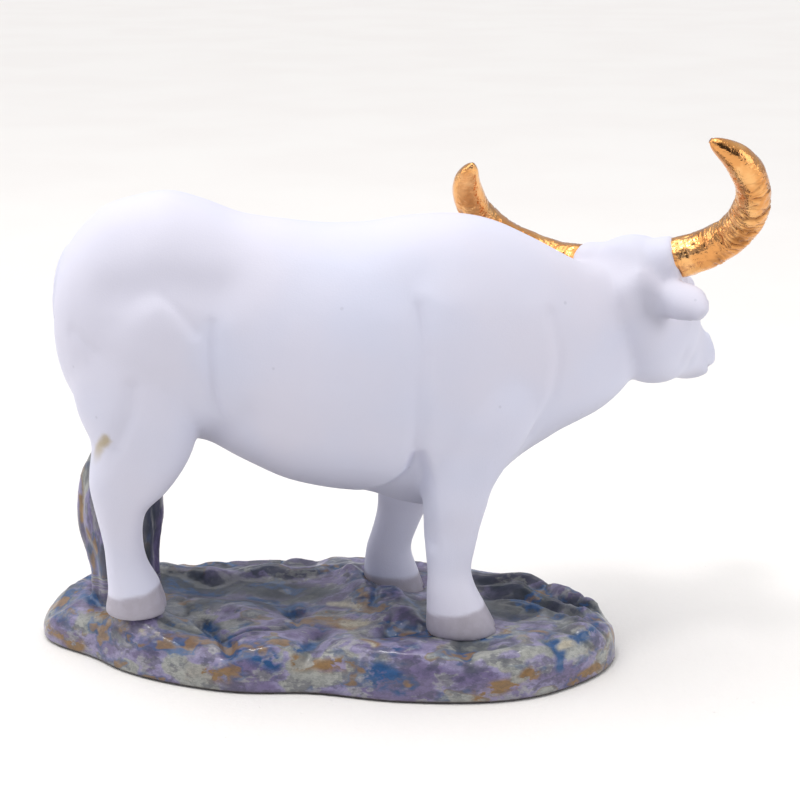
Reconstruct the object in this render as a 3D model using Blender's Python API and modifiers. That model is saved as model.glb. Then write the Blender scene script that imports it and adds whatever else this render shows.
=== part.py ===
"""A porcelain water ox on a glazed rock base.

The ox stands with its head turned to its left. Its white bisque body is one casting. Two gilded
horns sit on the head, and the rock base rises between the hind legs as a grooved stump. The ox
faces +X and the table is z = 0. The figure's own forms are shares of its height at the withers,
a hundredth each, and the horns' and the base's sizes are set by themselves.
"""

import math

import bmesh
import bpy
import numpy as np

# Driving dimensions, in metres.
OX_HEIGHT = 0.100
HORN_LENGTH = 0.0511
HORN_ROOT_RADIUS = 0.0055
HORN_TIP_RADIUS = 0.0036
HORN_COLLAR_WALL = 0.0007
BASE_LENGTH = 0.1480
BASE_WIDTH = 0.0768
BASE_HEIGHT = 0.0105
BASE_FOOT_CHAMFER = 0.0006
STUMP_LENGTH = 0.0205
STUMP_WIDTH = 0.0142
STUMP_GROOVE = 0.0006
HOOF_SEAT = 0.0010
FIT_GAP = 0.0004
ORIGIN_SHIFT = (-0.01519, -0.00128, 0.0)
# How far the grooves turn from the base to the top of the stump, in degrees.
STUMP_TWIST = 75.0

# Fineness of the finished solids.
VOXEL = 0.0010
SMOOTHING_ROUNDS = 15
OX_TRIANGLES = 4400
BASE_TURNS = 80
BASE_RINGS = 14
STUMP_FLUTES = 9
STUMP_SIDES = 27
HORN_SIDES = 14
HORN_RINGS = 15

SHARE = OX_HEIGHT / 100.0

# The body from rump to poll: along x, off to the left, lowest, highest, half width, heading and
# how much wider it is below its middle than above.
BODY = (
    (-65.2, 0.0, 69.5, 78.0, 5.0, 0.0, 0.00),
    (-64.0, 0.0, 62.0, 86.0, 11.0, 0.0, 0.02),
    (-61.4, 0.0, 55.5, 92.6, 15.0, 0.0, 0.04),
    (-57.6, 0.0, 49.5, 97.6, 17.8, 0.0, 0.06),
    (-52.0, 0.0, 45.5, 102.2, 20.0, 0.0, 0.08),
    (-44.0, 0.0, 44.0, 104.6, 21.4, 0.0, 0.08),
    (-37.0, 0.0, 44.8, 105.5, 21.8, 0.0, 0.08),
    (-29.0, 0.0, 43.8, 103.4, 21.4, 0.0, 0.08),
    (-20.0, 0.0, 39.1, 100.1, 21.6, 0.0, 0.10),
    (-10.0, 0.0, 34.5, 98.6, 23.0, 0.0, 0.12),
    (0.0, 0.0, 32.2, 97.6, 24.0, 0.0, 0.12),
    (10.0, 0.0, 30.9, 97.9, 24.0, 0.0, 0.10),
    (18.0, 0.0, 28.2, 99.2, 23.4, 0.0, 0.08),
    (26.0, 0.0, 27.0, 99.9, 22.4, 0.0, 0.06),
    (34.0, 0.0, 29.0, 99.8, 20.6, 0.0, 0.06),
    (41.0, 0.0, 34.0, 98.2, 18.2, 3.0, 0.06),
    (47.0, 0.4, 39.8, 95.6, 16.0, 9.0, 0.04),
    (53.0, 1.8, 43.8, 92.4, 14.2, 20.0, 0.02),
    (59.0, 4.6, 46.2, 88.6, 12.8, 33.0, 0.02),
    (65.0, 9.0, 48.2, 85.4, 11.8, 43.0, 0.02),
    (70.0, 13.6, 51.6, 84.4, 10.6, 50.0, 0.00),
    (74.0, 18.4, 57.0, 82.0, 8.0, 53.0, 0.00),
)

# The legs, from inside the body down to the sole: height, rear, front, middle of the width, half width.
RIGHT_HIND_LEG = (
    (84.0, -56.0, -38.0, -8.0, 7.0),
    (74.0, -60.0, -31.0, -9.8, 10.0),
    (64.0, -60.8, -28.5, -11.2, 10.5),
    (54.0, -59.2, -29.5, -12.0, 10.2),
    (47.0, -56.3, -31.3, -12.4, 9.2),
    (41.0, -56.9, -34.0, -13.0, 8.0),
    (35.5, -57.3, -37.8, -13.4, 6.8),
    (29.5, -56.2, -43.4, -13.8, 5.9),
    (24.5, -55.1, -44.7, -14.0, 5.4),
    (19.5, -54.4, -44.6, -14.0, 5.1),
    (15.5, -54.2, -43.6, -14.0, 5.3),
    (11.5, -54.0, -41.4, -14.0, 6.0),
    (8.6, -54.0, -40.5, -14.0, 6.5),
    (5.8, -54.6, -39.7, -14.0, 6.9),
    (2.6, -55.2, -39.2, -14.0, 7.2),
)
RIGHT_FORE_LEG = (
    (69.5, 26.0, 50.0, -9.0, 8.0),
    (54.5, 22.4, 50.0, -11.6, 9.2),
    (47.5, 22.0, 47.2, -12.4, 8.8),
    (41.5, 22.0, 42.8, -13.6, 7.8),
    (35.5, 23.2, 39.3, -14.8, 6.8),
    (30.5, 23.7, 38.2, -15.8, 6.2),
    (24.5, 23.7, 37.2, -16.6, 5.7),
    (19.2, 24.2, 36.0, -17.2, 5.3),
    (15.5, 24.6, 35.4, -17.6, 5.1),
    (11.5, 24.5, 36.5, -18.0, 5.7),
    (7.5, 24.5, 38.5, -18.0, 6.5),
    (4.0, 24.4, 40.4, -18.0, 7.2),
    (-0.5, 24.2, 42.6, -18.0, 7.7),
)
LEFT_FORE_LEG = (
    (60.0, 22.0, 44.0, 9.0, 8.0),
    (48.0, 14.0, 40.0, 11.0, 9.0),
    (36.0, 12.2, 33.0, 12.0, 7.8),
    (26.0, 12.3, 27.4, 12.3, 6.4),
    (20.0, 12.0, 24.8, 12.5, 5.7),
    (15.0, 10.8, 22.7, 12.5, 5.2),
    (10.0, 9.2, 21.0, 12.5, 5.1),
    (6.0, 8.7, 21.8, 12.5, 5.8),
    (2.0, 8.5, 23.3, 12.5, 6.6),
    (-1.5, 8.4, 24.6, 12.5, 7.1),
    (-5.2, 8.3, 25.8, 12.5, 7.4),
)
LEFT_HIND_BACK = 7.0
LEFT_HIND_DROP = 2.6
LEFT_HIND_FADE = 60.0

# The head lies on an axis from the poll to the mouth: along it, highest, lowest and half width.
POLL = (75.0, 11.9, 86.25)
HEAD_HEADING = 53.7
HEAD_PITCH = 32.0
HEAD_ROLL = 13.7
HEAD = (
    (-7.0, 1.0, -13.0, 6.0),
    (-3.5, 5.0, -17.0, 9.4),
    (1.0, 6.9, -21.0, 11.0),
    (7.0, 6.6, -24.6, 11.5),
    (14.0, 5.0, -26.4, 11.3),
    (21.0, 2.8, -25.6, 10.4),
    (27.0, 0.6, -22.8, 8.6),
    (33.0, -1.4, -20.2, 7.4),
    (37.5, -2.8, -18.4, 7.3),
    (41.5, -3.8, -17.4, 7.4),
    (44.8, -5.4, -16.2, 6.6),
    (47.0, -8.2, -13.8, 4.2),
)
# An ear: out from the head's axis, up, forward, half breadth and half thickness.
EAR = (
    (7.0, -10.5, 0.0, 3.2, 2.4),
    (10.0, -11.3, 0.0, 4.2, 2.4),
    (13.5, -12.3, -0.3, 5.4, 2.3),
    (17.0, -13.3, -0.6, 5.6, 2.1),
    (20.0, -14.2, -0.6, 4.6, 1.7),
    (22.2, -14.9, -0.6, 2.2, 1.0),
)
# How much further forward the tip of the left ear is, as the head turns it against the neck.
LEFT_EAR_SWING = 13.0
# The tail, down the middle of the rump: along x, off to the left, height and radius.
TAIL = (
    (-55.0, 1.5, 97.0, 2.0),
    (-61.0, 2.0, 91.6, 2.6),
    (-64.2, 2.4, 83.0, 2.4),
    (-64.9, 2.6, 74.0, 2.2),
    (-63.8, 2.6, 65.0, 2.3),
    (-60.6, 2.4, 56.0, 2.7),
    (-57.6, 2.0, 48.5, 3.0),
    (-56.0, 1.6, 43.5, 2.0),
)

# Muscle, bone and fold on the ox: two ends, how far it reaches, and how far it stands out.
RELIEF = (
    ((-38.5, -19.0, 88.0), (-34.0, -21.0, 76.0), 5.0, 0.9),
    ((-34.0, -21.0, 76.0), (-46.0, -22.0, 52.0), 6.0, 0.8),
    ((-26.5, -22.0, 72.0), (-25.5, -21.5, 58.0), 2.6, -0.9),
    ((-30.5, -20.0, 46.0), (-35.0, -18.0, 41.0), 2.6, -0.7),
    ((24.0, -22.0, 84.0), (22.5, -22.0, 52.0), 2.8, -0.9),
    ((22.0, -19.0, 50.0), (21.5, -15.0, 36.0), 3.0, -0.9),
    ((55.0, -12.0, 72.0), (47.0, -15.0, 48.0), 2.6, -0.9),
    ((33.0, -20.0, 84.0), (40.0, -19.0, 58.0), 7.0, 0.8),
    ((-38.5, 19.0, 88.0), (-34.0, 21.0, 76.0), 5.0, 0.9),
    ((-34.0, 21.0, 76.0), (-46.0, 22.0, 52.0), 6.0, 0.8),
    ((-26.5, 22.0, 72.0), (-25.5, 21.5, 58.0), 2.6, -0.9),
    ((24.0, 22.0, 84.0), (22.5, 22.0, 52.0), 2.8, -0.9),
    ((47.0, 16.0, 80.0), (43.0, 17.0, 48.0), 2.6, -0.9),
    ((33.0, 20.0, 84.0), (38.0, 19.0, 58.0), 7.0, 0.8),
)

# The face, in the head's own directions (forward, up, out to each side): two ends, reach and rise.
FACE = (
    ((10.5, -2.6, 11.0), (12.5, -3.4, 10.8), 2.2, 1.2),
    ((6.0, 3.4, 9.0), (14.0, 1.6, 9.6), 2.4, 0.6),
    ((43.4, -7.4, 4.6), (44.4, -8.6, 4.8), 1.7, -1.2),
    ((35.0, -15.4, 8.2), (46.0, -13.8, 5.6), 1.3, -0.8),
    ((46.0, -13.8, 5.6), (47.8, -13.6, 0.0), 1.3, -0.8),
)
# The cleft at the front of each hoof: how far it runs back and up, its reach and its depth.
HOOF_CLEFT = (2.0, 6.0, 1.3, -1.1)

# The horn's middle line, as shares of its length: out to the side, back along the brow, and up.
HORN_LINE_LENGTH = 51.1
HORN_PITCH = 47.2
HORN_TAPER = 1.4
COLLAR_REACH = 0.13
TIP_START = 0.80
TIP_RINGS = np.array([0.3, 0.55, 0.75, 0.9, 0.98])
TIP_FLAT = 0.2
HORN_LINE = (
    (7.5, -0.4, -1.4),
    (12.3, 0.0, -0.8),
    (18.2, 0.3, 0.6),
    (23.8, 2.1, 1.9),
    (28.7, 5.7, 2.6),
    (32.5, 10.5, 3.25),
    (34.9, 16.2, 3.75),
    (35.4, 22.4, 4.1),
    (33.8, 28.9, 4.4),
    (29.7, 35.2, 4.5),
)

# The base's outline: its reach from the middle at equal turns from +X, as shares of the half
# length and half width that an ellipse of the base's size would have.
BASE_MIDDLE = (-0.0020, -0.0030)
BASE_REACH = (
    0.992, 0.959, 0.946, 0.925, 0.935, 0.959, 1.003, 1.060, 1.075, 1.024,
    0.950, 0.820, 0.803, 0.803, 0.809, 0.785, 0.945, 1.080, 1.074, 1.040,
)
# The rim in section above its foot: drawn in from the outline, and height as a share of the top's.
RIM = ((0.0, 0.42), (0.0009, 0.70), (0.0032, 0.92))
# Rocks on the base: two ends and reach in hundredths of the base's length, and how far they stand
# out in hundredths of its height.
ROCKS = (
    ((4.1, 10.8), (13.5, -6.8), 4.8, 33),
    ((-31.1, 13.5), (-4.1, 12.8), 2.4, 23),
    ((-29.7, 18.2), (-4.1, 18.6), 1.8, -15),
    ((-24.3, 6.8), (-9.5, 4.1), 4.1, -14),
    ((-6.1, -6.8), (-3.4, -8.8), 2.3, -28),
    ((-21.6, -9.5), (-15.5, -16.9), 1.5, -23),
    ((-14.9, -4.1), (-9.5, -14.9), 3.4, 15),
    ((-29.7, -16.2), (-24.3, -9.5), 2.7, 11),
    ((25.7, 11.5), (45.3, -1.4), 1.4, 20),
    ((25.7, 8.4), (43.2, -3.4), 1.0, -18),
    ((25.7, 6.1), (41.9, -5.4), 1.3, 19),
    ((28.4, 2.7), (39.2, -6.8), 1.0, -18),
    ((29.7, 0.0), (37.8, -8.8), 1.5, 15),
    ((29.7, -20.3), (41.9, -13.5), 4.1, 18),
    ((4.1, -17.6), (17.6, -22.3), 3.4, 15),
    ((-1.4, -13.5), (2.7, -20.3), 1.6, -18),
    ((-49.3, 10.8), (-49.3, 0.0), 3.4, -20),
    ((-43.2, 8.1), (-41.9, 0.0), 2.7, 15),
    ((-41.9, -1.4), (-35.1, -6.8), 2.0, 14),
    ((-40.5, 4.1), (-38.5, -2.7), 1.5, -15),
    ((14.2, 2.7), (16.2, -4.1), 2.0, -18),
)
PAD_REACH = 0.0085

# The stump: height above the base's top (below it a share of the base's height), middle along x
# and breadth as a share of its length and width.
STUMP = (
    (-0.6, -52.0, 0.92),
    (0.5, -52.0, 0.85),
    (7.5, -52.1, 0.84),
    (13.5, -52.4, 0.87),
    (19.5, -52.8, 0.96),
    (25.5, -52.6, 1.04),
    (32.5, -52.2, 1.02),
    (39.5, -51.4, 0.94),
    (45.5, -50.4, 0.74),
    (51.5, -49.8, 0.56),
)


def clear_scene():
    """Removes the objects, meshes and materials that are there."""
    for thing in list(bpy.data.objects):
        bpy.data.objects.remove(thing, do_unlink=True)
    for thing in list(bpy.data.collections):
        bpy.data.collections.remove(thing)


def spline(rows, steps, closed=False):
    """Rows carried through smoothly: a Catmull-Rom curve with so many steps between neighbours."""
    rows = np.array(rows, float)
    if closed:
        points = np.vstack([rows[-1:], rows, rows[:2]])
        spans = len(rows)
    else:
        points = np.vstack([2 * rows[:1] - rows[1:2], rows, 2 * rows[-1:] - rows[-2:-1]])
        spans = len(rows) - 1
    at = np.arange(spans * steps + (0 if closed else 1)) / steps
    span = np.minimum(at.astype(int), spans - 1)
    t = (at - span)[:, None]
    a, b, c, d = (points[span + k] for k in range(4))
    return 0.5 * (2 * b + (c - a) * t + (2 * a - 5 * b + 4 * c - d) * t**2 + (3 * b - a - 3 * c + d) * t**3)


def superellipse(sides, power):
    """Cosine and sine around a section, squared off by the power: 2 is an ellipse."""
    turn = np.arange(sides) * 2 * math.pi / sides
    cosine, sine = np.cos(turn), np.sin(turn)
    return (
        np.sign(cosine) * np.abs(cosine) ** (2 / power),
        np.sign(sine) * np.abs(sine) ** (2 / power),
    )


def loft_faces(rings, sides, first):
    """Faces of a closed loft: quads between the rings and one face over each end."""
    faces = []
    for ring in range(rings - 1):
        for side in range(sides):
            a = first + ring * sides + side
            b = first + ring * sides + (side + 1) % sides
            faces.append((a, b, b + sides, a + sides))
    faces.append(tuple(first + side for side in reversed(range(sides))))
    faces.append(tuple(first + (rings - 1) * sides + side for side in range(sides)))
    return faces


def body_rings(sides=40):
    """Upright sections along the back, each turned to its own heading."""
    rows = spline(BODY, 3)
    along, aside, low, high, half, heading, egg = (column[:, None] for column in rows.T)
    up, out = superellipse(sides, 2.15)
    heading = np.radians(heading)
    out = out * half * (1 - egg * up)
    height = (low + high) / 2 + up * (high - low) / 2
    return np.stack([along - np.sin(heading) * out, aside + np.cos(heading) * out, height], -1)


def leg_rings(leg, sides=24):
    """Level sections down a leg."""
    rows = spline(leg, 3)
    height, rear, front, aside, half = (column[:, None] for column in rows.T)
    ahead, out = superellipse(sides, 2.1)
    along = (rear + front) / 2 + ahead * (front - rear) / 2
    return np.stack([along, aside + out * half, height + 0 * along], -1)


def left_hind_leg():
    """The far hind leg: the near one mirrored, a little further back and lower at the foot."""
    rows = []
    for height, rear, front, aside, half in RIGHT_HIND_LEG:
        drop = LEFT_HIND_DROP * max(0.0, 1 - height / LEFT_HIND_FADE)
        back = LEFT_HIND_BACK * max(0.0, 1 - height / LEFT_HIND_FADE)
        rows.append((height - drop, rear - back, front - back, -aside, half))
    return tuple(rows)


LEGS = (RIGHT_HIND_LEG, RIGHT_FORE_LEG, LEFT_FORE_LEG, left_hind_leg())


def head_axes(pitch):
    """Forward, right and up of the head, turned to its heading, pitch and roll."""
    heading, pitch, roll = (math.radians(angle) for angle in (HEAD_HEADING, pitch, HEAD_ROLL))
    level = np.array([math.cos(heading), math.sin(heading), 0.0])
    forward = level * math.cos(pitch) - np.array([0.0, 0.0, math.sin(pitch)])
    right = np.array([math.sin(heading), -math.cos(heading), 0.0])
    up = level * math.sin(pitch) + np.array([0.0, 0.0, math.cos(pitch)])
    return forward, right * math.cos(roll) + up * math.sin(roll), up * math.cos(roll) - right * math.sin(roll)


def head_rings(sides=32):
    """Sections square to the head's axis."""
    forward, right, up = head_axes(HEAD_PITCH)
    along, high, low, half = (column[:, None, None] for column in spline(HEAD, 3).T)
    lift, out = (value[None, :, None] for value in superellipse(sides, 2.3))
    rise = (high + low) / 2 + lift * (high - low) / 2
    return np.array(POLL) + along * forward + rise * up + out * half * right


def ear_rings(side, sides=16):
    """Flat oval sections along an ear, on the right for side 1 and on the left for -1."""
    forward, right, up = head_axes(HEAD_PITCH)
    out, rise, ahead, broad, thick = (column[:, None, None] for column in spline(EAR, 3).T)
    lift, front = (value[None, :, None] for value in superellipse(sides, 2.0))
    if side < 0:
        ahead = ahead + LEFT_EAR_SWING * (out - out.min()) / np.ptp(out)
    line = np.array(POLL) + side * out * right + rise * up + ahead * forward
    return line + lift * broad * up + front * thick * forward


def tail_rings(sides=14):
    """Round sections down the tail, level enough to be taken along x and y."""
    along, aside, height, radius = (column[:, None] for column in spline(TAIL, 3).T)
    ahead, out = superellipse(sides, 2.0)
    return np.stack([along + ahead * radius, aside + out * radius, height + 0.35 * ahead * radius], -1)


def horn_line(side, shares):
    """Places along the right horn's middle line (1) or the left one's (-1), from 0 inside the head to 1."""
    forward, right, up = head_axes(HORN_PITCH)
    fine = spline(HORN_LINE, 12)
    root = np.array(HORN_LINE[1])
    fine = root + (fine - root) * (HORN_LENGTH / SHARE / HORN_LINE_LENGTH)
    at = np.linspace(0, 1, len(fine))
    out, back, rise = (np.interp(shares, at, column)[:, None] for column in fine.T)
    return np.array(POLL) + side * out * right - back * forward + rise * up


def tube(line, radius, sides, squash=1.0):
    """A round profile carried along a line, kept from twisting by one fixed cross direction."""
    tangent = np.gradient(line, axis=0)
    tangent /= np.linalg.norm(tangent, axis=1)[:, None]
    chord = np.cross(line[-1] - line[0], line[len(line) // 2] - line[0])
    side = chord / np.linalg.norm(chord)
    across = side - tangent * (tangent @ side)[:, None]
    across /= np.linalg.norm(across, axis=1)[:, None]
    third = np.cross(tangent, across)
    cosine, sine = superellipse(sides, 2.0)
    reach = radius[:, None, None]
    return line[:, None] + reach * (
        cosine[None, :, None] * third[:, None] + squash * sine[None, :, None] * across[:, None]
    )


def collar_rings(side):
    """The short stub of the head that a horn seats on."""
    line = horn_line(side, np.linspace(0, COLLAR_REACH, 4))
    radius = (HORN_ROOT_RADIUS + HORN_COLLAR_WALL) / SHARE
    return tube(line, radius * np.array([1.0, 1.0, 0.98, 0.88]), 20)


def mesh_object(name, points, faces, collection):
    """A new object whose faces point outwards."""
    mesh = bpy.data.meshes.new(name)
    mesh.from_pydata([tuple(point) for point in points], [], faces)
    shape = bmesh.new()
    shape.from_mesh(mesh)
    bmesh.ops.recalc_face_normals(shape, faces=shape.faces)
    shape.to_mesh(mesh)
    shape.free()
    thing = bpy.data.objects.new(name, mesh)
    collection.objects.link(thing)
    return thing


def lofts_object(name, lofts, collection):
    """One object that holds several closed lofts, from shares to metres, on the base's top."""
    points, faces, first = [], [], 0
    for rings in lofts:
        count, sides = rings.shape[:2]
        points.append(rings.reshape(-1, 3))
        faces += loft_faces(count, sides, first)
        first += count * sides
    points = np.vstack(points) * SHARE + np.array([0.0, 0.0, BASE_HEIGHT])
    return mesh_object(name, points + np.array(ORIGIN_SHIFT), faces, collection)


def evaluated_mesh(thing):
    """The object's mesh with its modifiers worked in."""
    graph = bpy.context.evaluated_depsgraph_get()
    return bpy.data.meshes.new_from_object(thing.evaluated_get(graph))


def rework(thing, kind, **settings):
    """Adds a modifier and works it into the mesh."""
    modifier = thing.modifiers.new(kind.title(), kind)
    for key, value in settings.items():
        setattr(modifier, key, value)
    old = thing.data
    mesh = evaluated_mesh(thing)
    thing.modifiers.clear()
    thing.data = mesh
    bpy.data.meshes.remove(old)


def coordinates(mesh):
    """The mesh's points as an array."""
    flat = np.empty(len(mesh.vertices) * 3, np.float32)
    mesh.vertices.foreach_get("co", flat)
    return flat.reshape(-1, 3).astype(float)


def directions(mesh):
    """The mesh's point normals as an array."""
    flat = np.empty(len(mesh.vertices) * 3, np.float32)
    mesh.vertex_normals.foreach_get("vector", flat)
    return flat.reshape(-1, 3).astype(float)


def distance_to_segment(points, start, end):
    """How far each point is from the straight line between two ends."""
    start, end = np.array(start, float), np.array(end, float)
    way = end - start
    share = np.clip((points - start) @ way / (way @ way), 0, 1)
    return np.linalg.norm(points - start - share[:, None] * way, axis=1)


def face_relief():
    """The face's forms on both sides of the head, placed in the ox's shares."""
    axes = np.array(head_axes(HEAD_PITCH))[[0, 2, 1]]
    placed = []
    for start, end, reach, rise in FACE:
        for side in (1, -1):
            ends = [np.array(POLL) + (np.array(end) * (1, 1, side)) @ axes for end in (start, end)]
            placed.append((*ends, reach, rise))
    return placed


def cleft_relief():
    """The cleft at the front of each hoof."""
    back, up, reach, depth = HOOF_CLEFT
    placed = []
    for leg in LEGS:
        height, rear, front, aside, half = leg[-1]
        placed.append(((front, aside, height), (front - back, aside, height + up), reach, depth))
    return placed


def carve_relief(thing):
    """Moves the skin out over muscle and bone and in along the folds."""
    points = coordinates(thing.data)
    shares = (points - np.array(ORIGIN_SHIFT) - np.array([0.0, 0.0, BASE_HEIGHT])) / SHARE
    height = np.zeros(len(points))
    for start, end, reach, rise in (*RELIEF, *face_relief(), *cleft_relief()):
        height += rise * np.exp(-((distance_to_segment(shares, start, end) / reach) ** 2))
    points += directions(thing.data) * (height * SHARE)[:, None]
    thing.data.vertices.foreach_set("co", points.astype(np.float32).ravel())
    thing.data.update()


def make_ox(collection):
    """The ox: closed lofts grown into one skin, smoothed, carved and thinned."""
    lofts = [body_rings(), head_rings(), tail_rings()]
    lofts += [leg_rings(leg) for leg in LEGS]
    lofts += [ear_rings(side) for side in (1, -1)]
    lofts += [collar_rings(side) for side in (1, -1)]
    ox = lofts_object("ox", lofts, collection)
    rework(ox, "REMESH", mode="VOXEL", voxel_size=VOXEL)
    rework(ox, "SMOOTH", factor=0.5, iterations=SMOOTHING_ROUNDS)
    carve_relief(ox)
    rework(ox, "DECIMATE", ratio=OX_TRIANGLES / (2 * len(ox.data.polygons)))
    ox.data.shade_smooth()
    return ox


def make_horn(name, side, collection):
    """A horn: a round profile along its middle line, tapering to a blunt tip."""
    shares = np.concatenate([np.linspace(0, TIP_START, HORN_RINGS), TIP_START + (1 - TIP_START) * TIP_RINGS])
    narrowing = 1 - (1 - HORN_TIP_RADIUS / HORN_ROOT_RADIUS) * shares**HORN_TAPER
    round_end = np.sqrt(1 - ((shares - TIP_START) / (1 - TIP_START)).clip(0) ** 2)
    radius = HORN_ROOT_RADIUS * narrowing * np.maximum(round_end, TIP_FLAT) / SHARE
    return lofts_object(name, [tube(horn_line(side, shares), radius, HORN_SIDES)], collection)


def soles():
    """Where each hoof stands: middle along x, middle across and height of its sole, in metres."""
    feet = np.array([leg[-1] for leg in LEGS]) * SHARE
    return [((rear + front) / 2, aside, height) for height, rear, front, aside, half in feet]


def ground(x, y):
    """The rock's height at a place: the top, its rocks and clefts, and a pad under each hoof."""
    height = np.full(x.shape, BASE_HEIGHT)
    places = np.stack([x, y], -1) * 100 / BASE_LENGTH
    for start, end, reach, rise in ROCKS:
        bulge = np.exp(-((distance_to_segment(places, start, end) / reach) ** 2))
        height += BASE_HEIGHT * rise / 100 * bulge
    for foot_x, foot_y, sole in soles():
        near = np.exp(-(((x - foot_x) ** 2 + (y - foot_y) ** 2) / PAD_REACH**2) ** 1.5)
        height += near * (BASE_HEIGHT + sole + HOOF_SEAT - height)
    return height


def base_outline(turns):
    """The base's outline around its middle, in metres."""
    reach = spline([(value,) for value in BASE_REACH], turns // len(BASE_REACH), closed=True)[:, 0]
    turn = np.arange(len(reach)) * 2 * math.pi / len(reach)
    return np.stack([np.cos(turn) * reach * BASE_LENGTH / 2, np.sin(turn) * reach * BASE_WIDTH / 2], -1)


def make_base(collection):
    """The rock base: flat below, a rounded rim and a rocky top that closes in the middle."""
    outline = base_outline(BASE_TURNS)
    away = np.linalg.norm(outline, axis=1)[:, None]
    middle = np.array(BASE_MIDDLE)
    foot = outline * (1 - BASE_FOOT_CHAMFER / away) + middle
    rings = [np.column_stack([foot, 0 * away]), np.column_stack([outline + middle, 0 * away + BASE_FOOT_CHAMFER])]
    for inset, share in RIM:
        place = outline * (1 - inset / away) + middle
        rings.append(np.column_stack([place, share * ground(place[:, 0], place[:, 1])]))
    top = outline * (1 - RIM[-1][0] / away)
    for share in np.linspace(0.94, 0.06, BASE_RINGS):
        place = top * share + middle
        rings.append(np.column_stack([place, ground(place[:, 0], place[:, 1])]))
    rings = np.array(rings)
    faces = loft_faces(len(rings), BASE_TURNS, 0)
    points = rings.reshape(-1, 3) + np.array(ORIGIN_SHIFT)
    return mesh_object("rock_base", points, faces, collection)


def make_stump(collection):
    """The grooved stump that joins the base to the rump."""
    height, along, breadth = (column[:, None] for column in np.array(STUMP).T)
    turn = np.arange(STUMP_SIDES) * 2 * math.pi / STUMP_SIDES
    twist = math.radians(STUMP_TWIST) * height / height.max()
    flute = STUMP_GROOVE * np.cos(STUMP_FLUTES * turn + twist)
    x = along * SHARE + np.cos(turn) * (STUMP_LENGTH / 2 * breadth + flute)
    y = np.sin(turn) * (STUMP_WIDTH / 2 * breadth + flute)
    height = BASE_HEIGHT + np.where(height < 0, height * BASE_HEIGHT, height * SHARE)
    rings = np.stack([x, y, height + 0 * x], -1)
    faces = loft_faces(len(rings), STUMP_SIDES, 0)
    return mesh_object("stump_union", rings.reshape(-1, 3) + np.array(ORIGIN_SHIFT), faces, collection)


def make_helper(thing):
    """Marks an object that shapes others and isn't part of the figure."""
    thing.hide_render = True
    thing.display_type = "WIRE"


def boolean(thing, other, operation):
    """Adds a Boolean modifier."""
    modifier = thing.modifiers.new(other.name, "BOOLEAN")
    modifier.operation = operation
    modifier.object = other
    modifier.solver = "EXACT"
    modifier.use_self = True


def material(name, colour, roughness, metallic):
    """A plain material with a colour, roughness and metallic value."""
    made = bpy.data.materials.new(name)
    made.use_nodes = True
    shader = made.node_tree.nodes["Principled BSDF"]
    shader.inputs["Base Color"].default_value = (*colour, 1.0)
    shader.inputs["Roughness"].default_value = roughness
    shader.inputs["Metallic"].default_value = metallic
    return made


def main():
    """Builds the ox, its horns and its base."""
    clear_scene()
    parts = bpy.data.collections.new("porcelain_ox_figurine")
    cutters = bpy.data.collections.new("cutters")
    bpy.context.scene.collection.children.link(parts)
    bpy.context.scene.collection.children.link(cutters)

    ox = make_ox(parts)
    ox.data.materials.clear()
    ox.data.materials.append(material("white_bisque", (0.78, 0.78, 0.86), 0.55, 0.0))

    clearance = bpy.data.objects.new("ox_clearance", ox.data.copy())
    cutters.objects.link(clearance)
    swell = clearance.modifiers.new("Clearance", "DISPLACE")
    swell.strength = FIT_GAP
    swell.mid_level = 0.0
    make_helper(clearance)

    gold = material("gilding", (0.80, 0.50, 0.22), 0.18, 1.0)
    for name, side in (("horn_right", 1), ("horn_left", -1)):
        horn = make_horn(name, side, parts)
        boolean(horn, clearance, "DIFFERENCE")
        horn.data.materials.append(gold)
        horn.data.shade_smooth()

    base = make_base(parts)
    stump = make_stump(cutters)
    make_helper(stump)
    boolean(base, stump, "UNION")
    boolean(base, clearance, "DIFFERENCE")
    base.data.materials.append(material("rock_glaze", (0.30, 0.28, 0.42), 0.25, 0.0))


main()
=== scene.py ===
"""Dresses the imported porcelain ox: white bisque, gilded horns and a glazed rock base in a pale studio.

Each node is worked out again more finely from the figure's own sections, in millimetres from the
figure's middle line, and is then placed in the frame, in metres. The ox faces +X and turns its head
to its left. Relief, brush strokes and creases that are too fine for the solids are added here.
"""

import logging
import math
from dataclasses import dataclass
from enum import Enum

import bmesh
import bpy
import numpy as np
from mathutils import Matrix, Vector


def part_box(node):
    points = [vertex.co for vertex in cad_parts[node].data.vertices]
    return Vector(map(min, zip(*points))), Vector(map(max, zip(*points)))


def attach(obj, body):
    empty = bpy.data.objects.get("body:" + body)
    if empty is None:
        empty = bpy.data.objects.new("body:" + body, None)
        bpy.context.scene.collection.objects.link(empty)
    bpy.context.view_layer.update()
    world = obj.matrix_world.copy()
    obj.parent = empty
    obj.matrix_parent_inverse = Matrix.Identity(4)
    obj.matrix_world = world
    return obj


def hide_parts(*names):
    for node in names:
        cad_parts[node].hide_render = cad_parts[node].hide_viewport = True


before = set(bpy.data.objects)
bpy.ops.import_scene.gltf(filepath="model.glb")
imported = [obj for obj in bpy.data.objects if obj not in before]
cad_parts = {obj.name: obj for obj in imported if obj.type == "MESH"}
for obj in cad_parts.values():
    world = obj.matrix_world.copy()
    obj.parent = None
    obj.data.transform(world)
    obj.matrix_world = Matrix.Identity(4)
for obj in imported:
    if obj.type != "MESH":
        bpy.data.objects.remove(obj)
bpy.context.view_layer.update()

LOG = logging.getLogger("porcelain_ox")

Array = np.ndarray
Row = tuple[float, ...]
Pair = tuple[float, float]
Point = tuple[float, float, float]
Colour = tuple[float, float, float]

MILLIMETRE = 0.001
BASE_TOP = 10.5
FIGURE_TO_FRAME = np.array([-15.19, -1.28, 0.0])
BOX_MARGIN = 0.00002


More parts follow.
